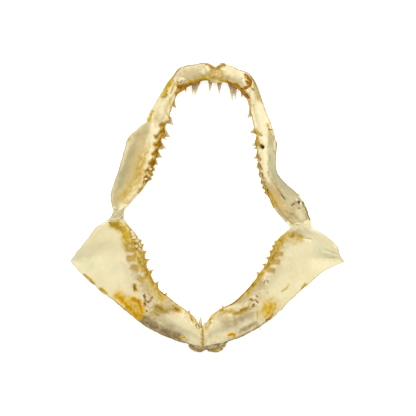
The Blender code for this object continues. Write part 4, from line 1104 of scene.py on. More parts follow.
# %% The stains, from the lowest to the topmost
Stain = namedtuple("Stain", "kind light deep border ragged strength")
STAINS = [   # the colour at its border and in its middle, and how wide, ragged and strong it is
    Stain("flange", "#cbbf95", "#bdac7c", 0.90, 0.20, 0.95),
    Stain("green", "#dcd8b0", "#cfcba2", 0.95, 0.30, 0.80),
    Stain("clay", "#cdbd93", "#b7a475", 0.95, 0.60, 0.90),
    Stain("blue", "#b8b38b", "#9ea283", 0.95, 0.50, 0.85),
    Stain("pale", "#e0d5aa", "#e5dab1", 0.95, 0.40, 0.80),
    # shade paints shade on the lower sides of the fronts, in a crease, at a bump's sides and along the
    # edges, and also colours real dark specks and lines
    Stain("shade", "#b3a078", "#786440", 0.95, 0.40, 0.95),
    Stain("tan", "#cdb060", "#b2913a", 0.95, 0.90, 0.92),
    Stain("gold", "#d2b54c", "#af8b12", 0.95, 0.80, 0.95),
    Stain("orange", "#eac23c", "#ba8600", 0.95, 0.65, 0.98),
    Stain("amber", "#bf8b24", "#8e5c02", 0.60, 1.10, 0.98),
    Stain("rough", "#cdb98c", "#e9dfbf", 0.50, 1.80, 0.80),
    Stain("file", "#ae8932", "#bd9b40", 0.80, 1.00, 0.88),
    Stain("window", "#ad8524", "#896108", 0.95, 0.95, 0.97),
    Stain("brown", "#aa8c3e", "#7c6018", 0.95, 1.10, 0.90),
    Stain("white", "#e2d4aa", "#efe5c6", 0.65, 1.10, 0.85),
    Stain("pit", "#bc8832", "#966016", 0.95, 1.20, 0.92),
    # dark paints the shade inside holes, slits and tears, and along the edge of a bump
    Stain("dark", "#6a5c2c", "#262010", 0.60, 0.60, 0.98),
]
GLOSSLESS = ("shade", "tan", "gold", "orange", "amber", "file", "window", "brown", "pit", "dark")
print(len(STAINS), "stains,", len(GLOSSLESS), "of them dull")

# %% Dried cartilage
def cartilage_finish():
    f = Finish("dried_cartilage", Roughness=0.45, Subsurface_Weight=0.05, Subsurface_Scale=0.001,
               Subsurface_Radius=(1.0, 0.55, 0.25), Specular_IOR_Level=0.05, Coat_Roughness=0.3)
    lie, bar = f.stored("lie", "Vector"), f.stored("bar")
    broad = f.noise(55, 4)
    mottle = f.noise(430, 5, 0.62)
    cloud = f.noise(260, 4, 0.6)
    soft = f.noise(520, 2, 0.4)
    grain = f.noise(1700, 3)
    streaks = f.noise(1.0, 4, 0.6, vector=f.stretched(lie, (0.12, 1.3, 1.0)))
    fibres = f.noise(1.0, 3, 0.5, vector=f.stretched(lie, (0.35, 1.8, 1.0)))
    tiles = f.tiles(1150)
    edge = (soft - 0.5) * 1.3 + (fibres - 0.5) * 0.7 + (grain - 0.5) * 0.4
    # ivory, with streaks along the jaw and brown and pale clouds over the bar
    colour = f.mix(f.step(0.36, 0.62, broad), rgb("#ebe0b9"), rgb("#e4d8ab"))
    colour = f.mix(f.step(0.50, 0.72, mottle, 0.3), colour, rgb("#f0e6c4"))
    colour = f.mix(f.step(0.48, 0.68, streaks) * (0.10 + bar * 0.35), colour, rgb("#cbb57e"))
    colour = f.mix(f.step(0.42, 0.62, cloud * 0.5 + mottle * 0.5) * bar * 0.85, colour, rgb("#c6b084"))
    colour = f.mix(f.step(0.54, 0.66, fibres * 0.6 + mottle * 0.4) * bar * 0.55, colour, rgb("#a98e5c"))
    colour = f.mix(f.step(0.52, 0.64, 1 - cloud) * bar * 0.6, colour, rgb("#f0e6c8"))
    # the stains over it, ragged at the border and deeper in the middle, the shade and dark kinds
    # among them painted shade in places; pits have a pale halo
    halo = f.step(0.05, 0.40, f.stored("pit"), 0.25)
    covered = bar * 0
    for stain in STAINS:
        if stain.kind == "pit":
            colour = f.mix(halo, colour, rgb("#e6d9b4"))
        spread = f.stored(stain.kind) * (1 + edge * stain.ragged)
        mask = f.step(0.5 - stain.border / 2, 0.5 + stain.border / 2, spread, stain.strength)
        varied = spread + (cloud - 0.5) * 1.2 + (streaks - 0.5) * 1.0 + (fibres - 0.5) * 0.8
        inside = f.mix(f.step(0.30, 1.10, varied), rgb(stain.light), rgb(stain.deep))
        colour = f.mix(mask, colour, inside)
        if stain.kind in GLOSSLESS:
            covered = covered + mask
    # dark and light speckles in the windows over waiting teeth, then painted shade along the rim and the
    # outer edge, and brown flecks
    files = f.step(0.45, 0.8, f.stored("window"))
    colour = f.mix(files * f.step(0.52, 0.62, mottle, 0.8), colour, rgb("#7a560a"))
    colour = f.mix(files * f.step(0.54, 0.64, 1 - mottle, 0.8), colour, rgb("#c4a044"))
    # painted shade: darker close to the rim and the outer edge, where the surface turns away from the light
    border = 1 - f.step(0.05, 0.70, f.stored("edge") + (mottle - 0.5) * 0.6)
    colour = f.mix(border * 0.5, colour, rgb("#9c8755"))
    flecks = f.step(0.66, 0.74, f.noise(900, 2), 0.3) * bar
    colour = f.mix(flecks, colour, rgb("#a08650"))
    # a gloss that the dull stains take away, and a skin finely pitted and tiled
    rough = 0.40 + mottle * 0.18 + f.step(0.5, 0.8, f.stored("rough")) * 0.2
    height = mottle * 0.6 + grain * 0.3 + fibres * 0.35 + f.step(0.0, 0.09, tiles) * 0.12
    coat = (1 - f.step(0.0, 0.7, covered)) * 0.22
    return f.set(Base_Color=colour, Roughness=rough, Coat_Weight=coat,
                 Normal=f.bump(height, 0.0007, 0.55))


CARTILAGE = cartilage_finish()
print(len(CARTILAGE.node_tree.nodes), "nodes in the cartilage")

# %% The four halves
NODES = {"upper_left": "upper_jaw_left", "upper_right": "upper_jaw_right",
         "lower_left": "lower_jaw_left", "lower_right": "lower_jaw_right"}
UPPER_GRID, LOWER_GRID = (180, 500), (230, 410)   # columns round a half and rows along it
for name, half in HALVES.items():
    columns, rows = UPPER_GRID if name.startswith("upper") else LOWER_GRID
    skin(half, columns, rows).done(CARTILAGE, "cartilage", [NODES[name]])

# %% [markdown]
# ## Teeth
# The front teeth are daggers and the side teeth are low blades that lean to the joint. Each
# has a root of two lobes in the gum. A crown is a grid rolled round a curved axis: nearly
# flat on its outer face, round on its inner face, and drawn to a point. The base is stained
# brown and the tip is clear ivory, so the finish needs to know how far up the tooth it is.

# %% Crowns and roots
BURIED = 1.6                       # how deep a crown goes on inside the gum, in millimetres
LOWEST = 0.9                       # the least that a crown stands out
STOUT_FROM, STOUT_AT = 4.5, 6.5    # a blade up to the first height, a dagger from the second
FLATTER = (1.0, 1.0, 0.35)         # lays the teeth more level than the plate behind them
CROWN_GRID, ROOT_GRID = (18, 16), (10, 7)   # columns round a piece and rows along it


def crown(piece, half, tooth, rise, sink=0.0):
    """One tooth: sink slides its foot from the rim to the waiting files behind."""
    _, rim, _, along, across, out = half.frame([half.run_at(tooth.at)])
    along, across, out = along[0], across[0], out[0]
    stout = smooth(STOUT_FROM, STOUT_AT, tooth.height)
    fullness = 1.05 - 0.22 * stout
    raised = scallops(half, np.array([tooth.at]))[0]
    height, width = max(tooth.height - raised, LOWEST), tooth.width
    foot = rim[0] + across * (sink - raised) - out * 0.25
    up = unit(unit(-across * FLATTER) + along * tooth.lean + out * rise)
    side = unit(along - up * np.dot(along, up))
    face = np.cross(up, side)
    face *= np.sign(np.dot(face, out))

    def shape(turn, run):
        angle = 2 * math.pi * turn
        lift = np.interp(run, (0, 0.25, 1), (-BURIED, 0, height))
        share = np.clip(lift / height, 0, 1)
        girth = 0.82 + 0.08 * stout + 0.45 * np.exp(-share / 0.16)
        swell = (1 - share) ** fullness * girth + 0.015
        flat = np.where(np.sin(angle) > 0, 0.30, 0.16) * np.sin(angle)
        broad = 0.5 * width * swell * np.cos(angle) + 0.12 * width * share**2
        thick = width * swell * flat - 0.05 * height * np.sin(math.pi * share)
        point = foot + up * lift[:, None] + side * broad[:, None] + face * thick[:, None]
        # how near a cutting edge; the finish paints shade there
        keen = np.abs(np.cos(angle)) ** 6
        return point, {"rise": share, "keen": keen, "root": np.zeros(len(run))}

    piece.roll(*CROWN_GRID, shape)
    for lobe in (-1, 1):
        def root(turn, run, lobe=lobe):
            angle = 2 * math.pi * turn
            round_off = np.sin(math.pi * (0.12 + 0.88 * run)) ** 0.6
            girth = 0.20 * width * round_off * (1 - 0.3 * run) + 0.02
            axis = (foot + up * (0.2 - 1.6 * run * min(1.0, height / 5))[:, None]
                    + side * (lobe * width * (0.20 + 0.22 * run))[:, None] + face * 0.10)
            point = (axis + side * (girth * np.cos(angle))[:, None]
                     + face * (girth * np.sin(angle))[:, None])
            return point, {"rise": np.zeros(len(run)), "keen": np.zeros(len(run)),
                           "root": np.ones(len(run))}
        piece.roll(*ROOT_GRID, root)


# %% [markdown]
# ## The finish of the teeth
# A tooth has an enamel-like cover over a bony core: glossy ivory with long faint cracks, and
# brown where the root enters the gum. One finish serves all of it, because each spot stores
# how far up the tooth it is, how near a cutting edge, and whether it is root.

# %% Tooth finish
def tooth_finish():
    f = Finish("tooth_ivory", Roughness=0.2, Subsurface_Weight=0.25, Subsurface_Scale=0.0015,
               Subsurface_Radius=(1.0, 0.7, 0.45), IOR=1.55, Coat_Weight=0.3, Coat_Roughness=0.12)
    rise, root = f.stored("rise"), f.stored("root")
    lines = f.noise(1.0, 3, vector=f.stretched(f.place, (2600.0, 500.0, 1200.0)))
    cloud = f.noise(700, 3)
    colour = f.mix(f.step(0.35, 1.0, rise + (cloud - 0.5) * 0.3), rgb("#b9a67c"), rgb("#ddd2b0"))
    colour = f.mix(f.step(0.52, 0.70, lines, 0.5), colour, rgb("#8f8058"))
    # painted shade along the cutting edges, where the sides of a crown turn away from the light
    colour = f.mix(f.step(0.1, 0.9, f.stored("keen"), 0.6), colour, rgb("#8d8057"))
    stain = f.step(0.12, 0.40, 0.44 - rise + (cloud - 0.5) * 0.3, 0.9)
    colour = f.mix(stain, colour, rgb("#ac8b49"))
    colour = f.mix(root, colour, f.mix(cloud, rgb("#996c1c"), rgb("#c9aa62")))
    rough = 0.22 + stain * 0.2 + root * 0.25
    return f.set(Base_Color=colour, Roughness=rough, Normal=f.bump(lines + cloud, 0.0002, 0.35))


IVORY = tooth_finish()
print(len(IVORY.node_tree.nodes), "nodes in the ivory")

# %% All the teeth
Spare = namedtuple("Spare", "sink tooth")
SPARES = {   # second tips, from the teeth that wait behind, and one stray thorn
    "upper_left": [Spare(0.45, Tooth(46.4, 3.6, 1.8, 0.62)), Spare(0.35, Tooth(52.6, 3.0, 1.6, 0.55))],
    "upper_right": [Spare(0.35, Tooth(53.4, 2.8, 1.3, 0.5)), Spare(0.3, Tooth(57.9, 2.2, 1.1, 0.4)),
                    Spare(0.0, Tooth(80.0, 0.9, 0.5, 0.27))],
    "lower_left": [Spare(0.3, Tooth(27.6, 1.6, 0.8, 0.1)), Spare(0.4, Tooth(43.0, 2.6, 0.9, 0.1)),
                   Spare(0.35, Tooth(50.4, 2.1, 0.9, 0.2)), Spare(0.3, Tooth(55.0, 1.4, 0.7, 0.3))],
    "lower_right": [Spare(0.35, Tooth(43.8, 1.9, 0.8, 0.1)), Spare(0.4, Tooth(50.2, 2.2, 0.9, 0.1)),
                    Spare(0.3, Tooth(54.6, 2.1, 0.8, 0.1))],
}
UPPER_RISE, LOWER_RISE, SPARE_DROP = 0.10, -0.15, 0.1   # how far the tips point off the plate
for name, half in HALVES.items():
    teeth = Piece(name + "_teeth", ("rise", "keen", "root"))
    rise = UPPER_RISE if name.startswith("upper") else LOWER_RISE
    for tooth in TEETH[name]:
        crown(teeth, half, tooth, rise)
    for sink, tooth in SPARES[name]:
        crown(teeth, half, tooth, rise - SPARE_DROP, sink)
    teeth.done(IVORY, "cartilage")

# %% [markdown]
# ## Gum, cords of tissue and shreds
# Dried gum is a brown strip along the rims, thickest under the front teeth. It, the lumps
# over the symphysis, the shreds at the joints and the stray fibres are all long thin
# things, so one helper rolls a tube along a guide, which gives its middle, its side
# direction and its top direction at each spot.

# %% A tube along a guide
TIP = 0.06   # how far along a tube its ends taper, and what is left of its width there


def tube(piece, columns, rows, guide, wide, thick, seed, rough, fields):
    """Half widths and half thicknesses are spread evenly along the guide."""
    def shape(turn, run):
        middle, side, top = guide(run)
        angle = 2 * math.pi * turn
        end = np.clip(np.minimum(run, 1 - run) / TIP, 0, 1) ** 0.5
        a = np.interp(run, np.linspace(0, 1, len(wide)), wide) * (TIP + (1 - TIP) * end)
        b = np.interp(run, np.linspace(0, 1, len(thick)), thick) * (TIP + (1 - TIP) * end)
        around = np.sign(np.cos(angle)) * np.abs(np.cos(angle)) ** 0.9
        point = middle + side * (a * around)[:, None] + top * (b * np.sin(angle))[:, None]
        if rough:
            wave = ripple(point, 3.0, seed) + 0.5 * ripple(point, 1.1, seed + 1, 12)
            outward = side * np.cos(angle)[:, None] + top * np.sin(angle)[:, None]
            point = point + outward * (rough * wave * end)[:, None]
        point[:, 2] = np.maximum(point[:, 2], FLOOR)
        return point, {field: np.full(len(run), float(value)) for field, value in fields.items()}

    piece.roll(columns, rows, shape)


# %% Guides through points and along a rim
UP = np.array((0.0, 0.0, 1.0))
STEP = 0.01   # a short way along a guide, which gives its heading


def through(points):
    """A guide through points, with its top towards the sky."""
    curve = Curve(points, np.array(points, float))

    def guide(run):
        heading = unit(curve.at(np.clip(run + STEP, 0, 1)) - curve.at(np.clip(run - STEP, 0, 1)))
        side = unit(np.cross(heading, UP))
        return curve.at(run), side, unit(np.cross(side, heading))

    return guide


def along_rim(half, start, stop, depth, lift):
    """A guide on the inner side, at a depth from the scalloped rim, between two distances."""
    def guide(run):
        distance = start + (stop - start) * run
        at = np.interp(distance, half.lengths, half.runs)
        lay = half.top(np.full(len(at), depth), at)
        middle = lay["point"] + lay["out"] * lift - lay["across"] * scallops(half, distance)[:, None]
        return middle, lay["across"], lay["out"]

    return guide


# %% Strands: tubes through points, one row of a table each
Strand = namedtuple("Strand", "name columns rows wide thick seed rough fields points")


def lay_strands(piece, strands):
    for strand in strands:
        tube(piece, strand.columns, strand.rows, through(strand.points), strand.wide,
             strand.thick or strand.wide, strand.seed, strand.rough, strand.fields)
    print(piece.name, "has", len(strands), "strands:", ", ".join(sorted({s.name for s in strands})))


# %% [markdown]
# ## The gum strip
# Dried gum is thick and dark under the front teeth, thin and golden beside the side teeth. One
# strip for a whole rim would need a width for every tooth, so each half has three that overlap.

# %% Gum finish
def gum_finish():
    f = Finish("dried_gum", Roughness=0.35, Subsurface_Weight=0.12, Subsurface_Scale=0.001,
               Subsurface_Radius=(1.0, 0.45, 0.12), Specular_IOR_Level=0.25)
    cloud, fine = f.noise(420, 4), f.noise(1900, 3)
    colour = f.mix(f.step(0.38, 0.60, cloud), rgb("#83560a"), rgb("#a97b1c"))
    colour = f.mix(f.step(0.5, 0.7, fine, 0.6), colour, rgb("#5f3f08"))
    colour = f.mix(f.step(0.2, 0.8, f.stored("pale") + (cloud - 0.5) * 0.8), colour, rgb("#cfb06a"))
    return f.set(Base_Color=colour, Roughness=0.3 + fine * 0.25,
                 Normal=f.bump(cloud + fine * 0.5, 0.0005, 0.6))


GUM = gum_finish()
print(len(GUM.node_tree.nodes), "nodes in the gum")

# %% Gum strips
Strip = namedtuple("Strip", "start stop depth lift wide thick pale")
THIN = (0.3, 0.3, 0.3)   # the half thickness of the strips that hardly show
GUM_STRIPS = {
    "upper_left": [
        Strip(2.6, 21.0, 0.35, 0.10, (0.2, 0.35, 0.45, 0.5, 0.7, 0.3), (0.3, 0.4, 0.5, 0.5, 0.6, 0.3), 0.0),
        Strip(20.0, 37.0, 0.20, 0.05, (0.25, 0.22, 0.3), THIN, 0.45),
        Strip(36.0, 80.0, 0.25, 0.0, (0.25, 0.3, 0.3, 0.25), (0.3, 0.35, 0.35, 0.3), 0.6)],
    "upper_right": [
        Strip(3.0, 20.0, 0.35, 0.10, (0.2, 0.4, 0.5, 0.6, 0.8, 0.5), (0.3, 0.4, 0.5, 0.5, 0.6, 0.4), 0.0),
        Strip(19.0, 38.0, 0.20, 0.05, (0.3, 0.22, 0.22), THIN, 0.5),
        Strip(37.0, 80.0, 0.25, 0.0, (0.25, 0.3, 0.3, 0.25), (0.3, 0.35, 0.35, 0.3), 0.35)],
    "lower_left": [
        Strip(3.0, 22.0, 0.25, 0.0, (0.2, 0.25, 0.25), THIN, 0.8),
        Strip(21.0, 42.0, 0.25, 0.0, (0.2, 0.3, 0.25), THIN, 0.4),
        Strip(41.0, 68.0, 0.30, 0.0, (0.25, 0.3, 0.4, 0.3), (0.3, 0.3, 0.4, 0.3), 0.65)],
    "lower_right": [
        Strip(3.0, 12.0, 0.25, 0.0, (0.2, 0.25, 0.25), THIN, 0.8),
        Strip(11.0, 40.0, 0.25, 0.0, (0.2, 0.3, 0.25), THIN, 0.45),
        Strip(39.0, 68.0, 0.30, 0.0, (0.25, 0.3, 0.4, 0.3), (0.3, 0.3, 0.4, 0.3), 0.65)],
}
GUM_COLUMNS, ROWS_PER_MM = 12, 5
GUM_ROUGH = 0.12   # how far the strips are uneven, in millimetres
gum = Piece("gum", ("pale",))
for name, strips in GUM_STRIPS.items():
    for strip in strips:
        guide = along_rim(HALVES[name], strip.start, strip.stop, strip.depth, strip.lift)
        tube(gum, GUM_COLUMNS, int(strip.stop - strip.start) * ROWS_PER_MM, guide,
             strip.wide, strip.thick, HALVES[name].seed, GUM_ROUGH, {"pale": strip.pale})
gum.done(GUM, "cartilage")

# %% [markdown]
# ## Ligaments at the joints
# Each joint is wrapped in a short sleeve of ligament, dried clear and drawn in at the waist.
# It could be a bent cylinder. A blend of the two cartilages' own end sections grips both of
# them, as the real sleeve does.

# %% A sleeve from one half to another
GRIPPED = 0.25   # the share of a sleeve's run that lies over each half


def sleeve(piece, first, second, grip, waist, proud, columns, rows, seed, ends, fields):
    """From the end ring of one half to that of another, over a length of each set by grip. It is
    drawn in by waist, stands proud of the halves, and its ends are ragged by so much."""
    def ring(half, at, turn):
        numbers = half.at(at)
        return half.lay(turn, at)["point"], (numbers[:, 0:3] + numbers[:, 3:6]) / 2

    def shape(turn, run):
        (half_a, end_a), (half_b, end_b) = first, second
        back = np.clip(1 - run / GRIPPED, 0, 1)
        fore = np.clip((run - (1 - GRIPPED)) / GRIPPED, 0, 1)
        wavy = 1 + 0.22 * np.sin(turn * 6 * math.pi + seed)
        wavy += 0.10 * np.sin(turn * 14 * math.pi + 2 * seed)
        a, middle_a = ring(half_a, np.abs(end_a - back * grip[0] * wavy), turn)
        b, middle_b = ring(half_b, np.abs(end_b - fore * grip[1] * wavy), turn)
        t = smooth(0.2, 0.8, run)[:, None]
        point = a * (1 - t) + b * t
        middle = middle_a * (1 - t) + middle_b * t
        outward = point - middle
        size = np.linalg.norm(outward, axis=1, keepdims=True)
        shrink = waist * np.sin(math.pi * np.clip((run - 0.15) / 0.7, 0, 1))
        strands = 0.07 * np.sin(turn * 2 * math.pi * 17 + 2.0 * ripple(point, 6.0, seed))
        lump = 0.16 * ripple(point, 3.0, seed + 1) + 0.08 * ripple(point, 1.2, seed + 2, 12)
        edge = np.minimum(run, 1 - run)
        thick = proud * smooth(0.0, 0.20, edge) - 0.25 * (1 - smooth(0.0, 0.12, edge))
        ragged = ends * ripple(point, 2.5, seed + 3) * (1 - smooth(0.10, 0.2, edge))
        lift = thick + (strands + lump) * smooth(0.02, 0.15, edge) + ragged
        point = middle + outward * (1 - shrink)[:, None] + outward / size * lift[:, None]
        point[:, 2] = np.maximum(point[:, 2], FLOOR)
        stored = {field: np.interp(run, np.linspace(0, 1, len(values)), values)
                  for field, values in fields.items()}
        stored["lie"] = np.stack([run * 10, turn * 40, 0 * run], axis=1)
        return point, stored

    piece.roll(columns, rows, shape)


# %% Ligament finish
def ligament_finish():
    f = Finish("dry_ligament", Roughness=0.35, Subsurface_Weight=0.25, Subsurface_Scale=0.0015,
               Subsurface_Radius=(1.0, 0.7, 0.5), Specular_IOR_Level=0.2, Coat_Weight=0.1,
               Coat_Roughness=0.25)
    strands = f.noise(1.0, 4, 0.6, vector=f.stretched(f.stored("lie", "Vector"), (0.25, 1.4, 1.0)))
    cloud = f.noise(380, 4)
    colour = f.mix(f.step(0.36, 0.64, cloud), rgb("#bfb48c"), rgb("#d2c69c"))
    colour = f.mix(f.step(0.50, 0.68, strands, 0.6), colour, rgb("#e6dcb6"))
    colour = f.mix(f.step(0.60, 0.75, 1 - strands, 0.6), colour, rgb("#968a68"))
    clear = f.mix(f.step(0.4, 0.65, strands), rgb("#f3e7bf"), rgb("#e5d6a8"))
    colour = f.mix(f.stored("pale"), colour, clear)
    colour = f.mix(f.stored("brown"), colour, rgb("#8a7442"))
    return f.set(Base_Color=colour, Roughness=0.3 + cloud * 0.2,
                 Normal=f.bump(strands + cloud * 0.4, 0.0006, 0.6))


LIGAMENT = ligament_finish()
print(len(LIGAMENT.node_tree.nodes), "nodes in the ligament")

# %% The two joints, each a sleeve with a fold over its front
WRAP = ("pale", "brown")
JOINT_GRID = (130, 100)
RAGGED_ENDS = 0.05
JOINT_FOLDS = {
    "left": Strand("a fold", 12, 60, (0.1, 0.2, 0.22, 0.2, 0.1), (0.1, 0.2, 0.25, 0.2, 0.1), 63, 0.08,
                   {"pale": 0.6},
                   ((-50.6, -5.7, 26.6), (-49.2, -5.8, 28.0), (-46.4, -5.5, 28.6),
                    (-43.9, -4.4, 28.4), (-43.1, -3.5, 27.6), (-42.0, -2.6, 26.6))),
    "right": Strand("a fold", 12, 70, (0.12, 0.25, 0.28, 0.25, 0.12), None, 64, 0.07, {"pale": 1.0},
                    ((42.5, -9.3, 28.4), (43.9, -8.0, 28.9), (46.8, -7.9, 29.2),
                     (49.2, -9.5, 28.9), (52.1, -10.0, 28.2))),
}
left, right = Piece("left_ligament", WRAP), Piece("right_ligament", WRAP)
sleeve(left, (HALVES["upper_left"], 1.0), (HALVES["lower_left"], 1.0), (0.030, 0.014), 0.24, 0.16,
       *JOINT_GRID, 61, RAGGED_ENDS, {"pale": (1.0, 0.9, 0.3, 0.0, 0.0, 0.0, 0.3, 0.9, 1.0)})
sleeve(right, (HALVES["upper_right"], 1.0), (HALVES["lower_right"], 1.0), (0.020, 0.020), 0.02, 0.16,
       *JOINT_GRID, 62, RAGGED_ENDS, {"pale": (0.9, 0.9, 0.95, 0.95)})
lay_strands(left, [JOINT_FOLDS["left"]])
lay_strands(right, [JOINT_FOLDS["right"]])
left.done(LIGAMENT, "ligament", ["jaw_joint_left"])
right.done(LIGAMENT, "ligament", ["jaw_joint_right"])

# %% Shreds of dried skin over the torn heel, and a thorn on the lower edge
SHREDS = [
    Strand("a long shred", 10, 30, (0.12, 0.4, 0.35, 0.1), (0.12, 0.25, 0.25, 0.1), 65, 0.10,
           {"pale": 1.0}, ((45.2, 8.3, 30.9), (46.0, 6.2, 31.0), (47.0, 3.8, 30.4), (47.6, 2.6, 29.8))),
    Strand("a short shred", 8, 20, (0.1, 0.25, 0.1), (0.1, 0.2, 0.1), 66, 0.06,
           {"pale": 0.9}, ((43.8, 7.2, 30.2), (44.6, 6.2, 30.5), (45.3, 5.1, 30.0))),
    Strand("a thorn", 8, 24, (0.08, 0.12, 0.06), None, 67, 0.0,
           {"brown": 0.6}, ((26.4, -61.6, 4.6), (27.2, -62.6, 4.0), (28.2, -63.9, 3.6))),
]
shreds = Piece("shreds", WRAP)
lay_strands(shreds, SHREDS)
shreds.done(LIGAMENT, "ligament")

# %% [markdown]
# ## Tissue over the symphyses
# The halves meet at the front in tough tissue that dried to a tan, speckled patch above and
# a glossy golden line below, with ragged skin left under the chin.

# %% Tissue finish
TISSUE_TINTS = [   # where the cloud starts and ends to turn the light colour into the deep one
    ("gold", 0.40, 0.60, "#c1962a", "#a0781c"),
    ("pale", 0.35, 0.65, "#e8dcb0", "#d8c48c"),
    ("grey", 0.38, 0.60, "#a89e80", "#776b50"),
]


def tissue_finish():
    f = Finish("symphysis_tissue", Roughness=0.4, Subsurface_Weight=0.12, Subsurface_Scale=0.0012,
               Subsurface_Radius=(1.0, 0.5, 0.18), Specular_IOR_Level=0.22)
    cloud, speckle = f.noise(480, 4, 0.6), f.noise(2100, 3, 0.7)
    colour = f.mix(f.step(0.36, 0.62, cloud), rgb("#d5bd7b"), rgb("#bfa153"))
    colour = f.mix(f.step(0.52, 0.66, speckle, 0.7), colour, rgb("#98722e"))
    colour = f.mix(f.step(0.54, 0.68, 1 - speckle, 0.7), colour, rgb("#e3d09e"))
    for kind, low, high, light, deep in TISSUE_TINTS:
        colour = f.mix(f.stored(kind), colour, f.mix(f.step(low, high, cloud), rgb(light), rgb(deep)))
    colour = f.mix(f.stored("dark"), colour, rgb("#3c3220"))
    return f.set(Base_Color=colour, Roughness=0.35 + speckle * 0.25,
                 Normal=f.bump(cloud + speckle * 0.7, 0.0006, 0.6))


TISSUE = tissue_finish()
print(len(TISSUE.node_tree.nodes), "nodes in the tissue")

# %% The upper symphysis with its two lumps, its band of gum and the stitches across the band
FIELDS = ("gold", "pale", "grey", "dark")
STITCHES = (1.2, 2.0, 2.8, 3.7, 4.5, 5.4, 6.3)   # where they stand from left to right
BROW_STRANDS = [
    Strand("a right lump", 16, 90, (0.2, 0.4, 0.5, 0.6, 0.55, 0.3), None, 73, 0.18, {"gold": 0.7},
           ((4.2, 70.9, 7.6), (4.5, 72.0, 7.8), (5.9, 73.4, 7.9),
            (7.3, 74.2, 7.6), (8.5, 73.9, 7.2), (8.8, 72.9, 7.2))),
    Strand("a left lump", 16, 90, (0.2, 0.4, 0.45, 0.45, 0.2), None, 72, 0.16, {"gold": 0.65},
           ((4.0, 70.9, 7.6), (3.2, 72.2, 7.9), (1.4, 73.4, 7.9), (-0.4, 74.1, 7.5), (-1.7, 74.0, 6.8))),
    Strand("a band of gum", 16, 80, (0.2, 0.6, 0.75, 0.6, 0.2), (0.3, 0.6, 0.7, 0.6, 0.3), 74, 0.10,
           {"pale": 0.55},
           ((0.6, 65.4, 6.3), (2.0, 65.2, 6.9), (3.9, 65.2, 7.1), (5.9, 65.1, 6.9), (7.4, 64.9, 6.3))),
] + [
    Strand("a stitch", 8, 14, (0.06, 0.12, 0.06), None, 75, 0.0, {"gold": 0.9},
           ((at, 65.8, 7.5), (at + 0.1, 65.2, 7.8), (at + 0.15, 64.6, 7.5)))
    for at in STITCHES
]
brow = Piece("upper_symphysis_tissue", FIELDS)
sleeve(brow, (HALVES["upper_left"], 0.0), (HALVES["upper_right"], 0.0), (0.030, 0.030), -0.01, 0.22,
       160, 110, 71, 0.42, {})
lay_strands(brow, BROW_STRANDS)
brow.done(TISSUE, "symphysis_tissue", ["upper_symphysis"])

# %% The lower symphysis
chin = Piece("lower_symphysis_tissue", FIELDS)
sleeve(chin, (HALVES["lower_left"], 0.0), (HALVES["lower_right"], 0.0), (0.010, 0.010), -0.02, 0.10,
       150, 90, 81, 0.1,
       {"pale": (1.0, 1.0, 0.6, 0.1, 0.6, 1.0, 1.0), "gold": (0, 0, 0.5, 0.9, 0.5, 0, 0)})
lay_strands(chin, [
    Strand("a golden line", 12, 90, (0.15, 0.3, 0.32, 0.3, 0.2), (0.15, 0.3, 0.3, 0.3, 0.2), 82, 0.07,
           {"gold": 0.8, "pale": 0.08},
           ((-2.8, -61.6, 7.0), (-2.9, -64.5, 7.4), (-2.7, -67.0, 6.9), (-2.8, -69.6, 6.2),
            (-2.7, -71.6, 5.4))),
    Strand("a tag between the front teeth", 12, 50, (0.5, 0.9, 0.7, 0.25), (0.5, 0.8, 0.6, 0.25), 90, 0.12,
           {"pale": 0.6, "gold": 0.1},
           ((-2.3, -63.4, 5.6), (-1.9, -61.4, 5.8), (-1.4, -59.6, 5.2), (-1.2, -58.6, 4.6))),
])

# %% The skin under the chin
SHELF, SKIRT, FOLD = (0.3, 1.0, 1.3, 1.4, 1.1, 0.3), (0.4, 0.9, 1.0, 0.9, 0.5), (0.5, 1.0, 1.0, 0.5)
LIMP = 0.25   # how uneven a flap is, in millimetres
lay_strands(chin, [
    Strand("a grey shelf", 16, 80, SHELF, (0.3, 0.7, 0.8, 0.8, 0.6, 0.2), 83, LIMP,
           {"pale": 0.1, "grey": 0.85},
           ((-11.6, -69.0, 3.6), (-8.3, -70.5, 3.5), (-4.9, -71.5, 3.4), (-0.3, -71.9, 3.4),
            (4.9, -70.8, 3.4), (10.4, -69.3, 3.6))),
    Strand("a left skirt", 16, 80, SKIRT, (0.3, 0.5, 0.5, 0.4, 0.3), 84, LIMP,
           {"gold": 0.35, "grey": 0.55},
           ((-10.2, -70.9, 2.8), (-8.6, -72.3, 2.6), (-6.4, -73.3, 2.4), (-3.8, -73.7, 2.3),
            (-1.6, -73.2, 2.4))),
    Strand("a golden middle", 16, 80, (0.4, 0.9, 0.9, 0.5), (0.3, 0.5, 0.5, 0.3), 85, LIMP,
           {"gold": 0.85, "grey": 0.1},
           ((-7.6, -71.9, 3.1), (-4.5, -72.5, 3.2), (-1.5, -72.7, 3.1), (1.6, -72.9, 2.8))),
    Strand("a right skirt", 16, 80, (0.4, 0.7, 0.8, 0.9, 0.8, 0.4), (0.3, 0.4, 0.5, 0.5, 0.4, 0.3), 86, LIMP,
           {"gold": 0.45, "pale": 0.15, "grey": 0.3},
           ((-0.4, -73.2, 2.4), (1.8, -73.9, 2.2), (4.2, -74.0, 2.2), (6.4, -73.0, 2.4),
            (8.0, -71.7, 2.7), (9.4, -70.2, 3.2))),
    Strand("a fold of the right skirt", 16, 80, FOLD, (0.3, 0.5, 0.5, 0.3), 87, LIMP,
           {"gold": 0.75, "grey": 0.1},
           ((0.8, -72.5, 2.8), (3.4, -72.4, 2.9), (5.8, -71.4, 3.0), (7.6, -70.3, 3.2))),
    Strand("a dark speck", 16, 80, (0.1, 0.35, 0.1), (0.1, 0.3, 0.1), 88, 0.0,
           {"dark": 1.0},
           ((6.3, -73.0, 3.0), (6.8, -72.8, 3.1), (7.2, -72.4, 3.0))),
])
chin.done(TISSUE, "symphysis_tissue", ["lower_symphysis"])

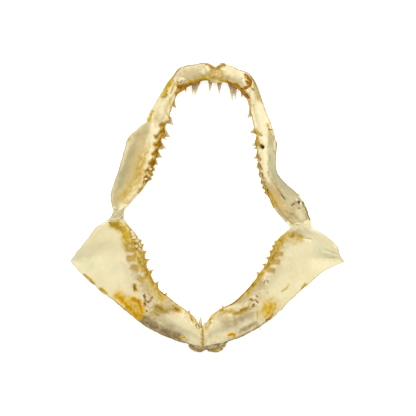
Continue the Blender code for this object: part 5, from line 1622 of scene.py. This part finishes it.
# %% [markdown]
# ## Floor, light and camera
# The jaw was photographed from above on a white ground, lit softly from the top of the
# picture. Large area lights give broad highlights on the ridges and faint shadows.

# %% The ground
GROUND = 3.0   # from its middle to each side, in metres
PAPER, PAPER_SHADE = (0.72, 0.72, 0.72, 1), (0.68, 0.68, 0.68, 1)


def floor():
    f = Finish("paper_ground", Roughness=0.9, Specular_IOR_Level=0.1, Emission_Strength=0.55,
               Emission_Color=(1.0, 1.0, 1.0, 1.0))
    material = f.set(Base_Color=f.mix(f.noise(40, 2) * 0.02, PAPER, PAPER_SHADE))
    bm = bmesh.new()
    bmesh.ops.create_grid(bm, x_segments=1, y_segments=1, size=GROUND)
    mesh = bpy.data.meshes.new("ground")
    bm.to_mesh(mesh)
    bm.free()
    mesh.materials.append(material)
    ground = bpy.data.objects.new("ground", mesh)
    bpy.context.scene.collection.objects.link(ground)


floor()
print("ground", 2 * GROUND, "m wide")

# %% The lights and the room
def light(name, place, size, power):
    lamp = bpy.data.lights.new(name, "AREA")
    lamp.size = size
    lamp.energy = power
    thing = bpy.data.objects.new(name, lamp)
    thing.location = place
    thing.rotation_euler = (-Vector(place)).to_track_quat("-Z", "Y").to_euler()
    bpy.context.scene.collection.objects.link(thing)


LAMP_SIZE = 0.9
light("window_light", (-0.08, 0.62, 1.0), LAMP_SIZE, 12.5)
light("fill_light", (0.30, -0.50, 0.90), LAMP_SIZE, 2.0)
ROOM_TINT, ROOM_POWER = (1.0, 0.99, 0.97, 1.0), 0.45
scene = bpy.context.scene
scene.view_settings.view_transform = "Standard"
scene.world = bpy.data.worlds.new("soft_room")
scene.world.use_nodes = True
background = scene.world.node_tree.nodes["Background"]
background.inputs["Color"].default_value = ROOM_TINT
background.inputs["Strength"].default_value = ROOM_POWER

# %% The camera, straight above the middle
LENS, SENSOR = 150, 36   # in millimetres
lens = bpy.data.cameras.new("camera")
lens.lens = LENS
lens.sensor_width = SENSOR
camera = bpy.data.objects.new("camera", lens)
camera.location = (0.0005, 0.0, 0.899)
scene.collection.objects.link(camera)
scene.camera = camera
print("camera", round(camera.location.z, 3), "m above the floor")
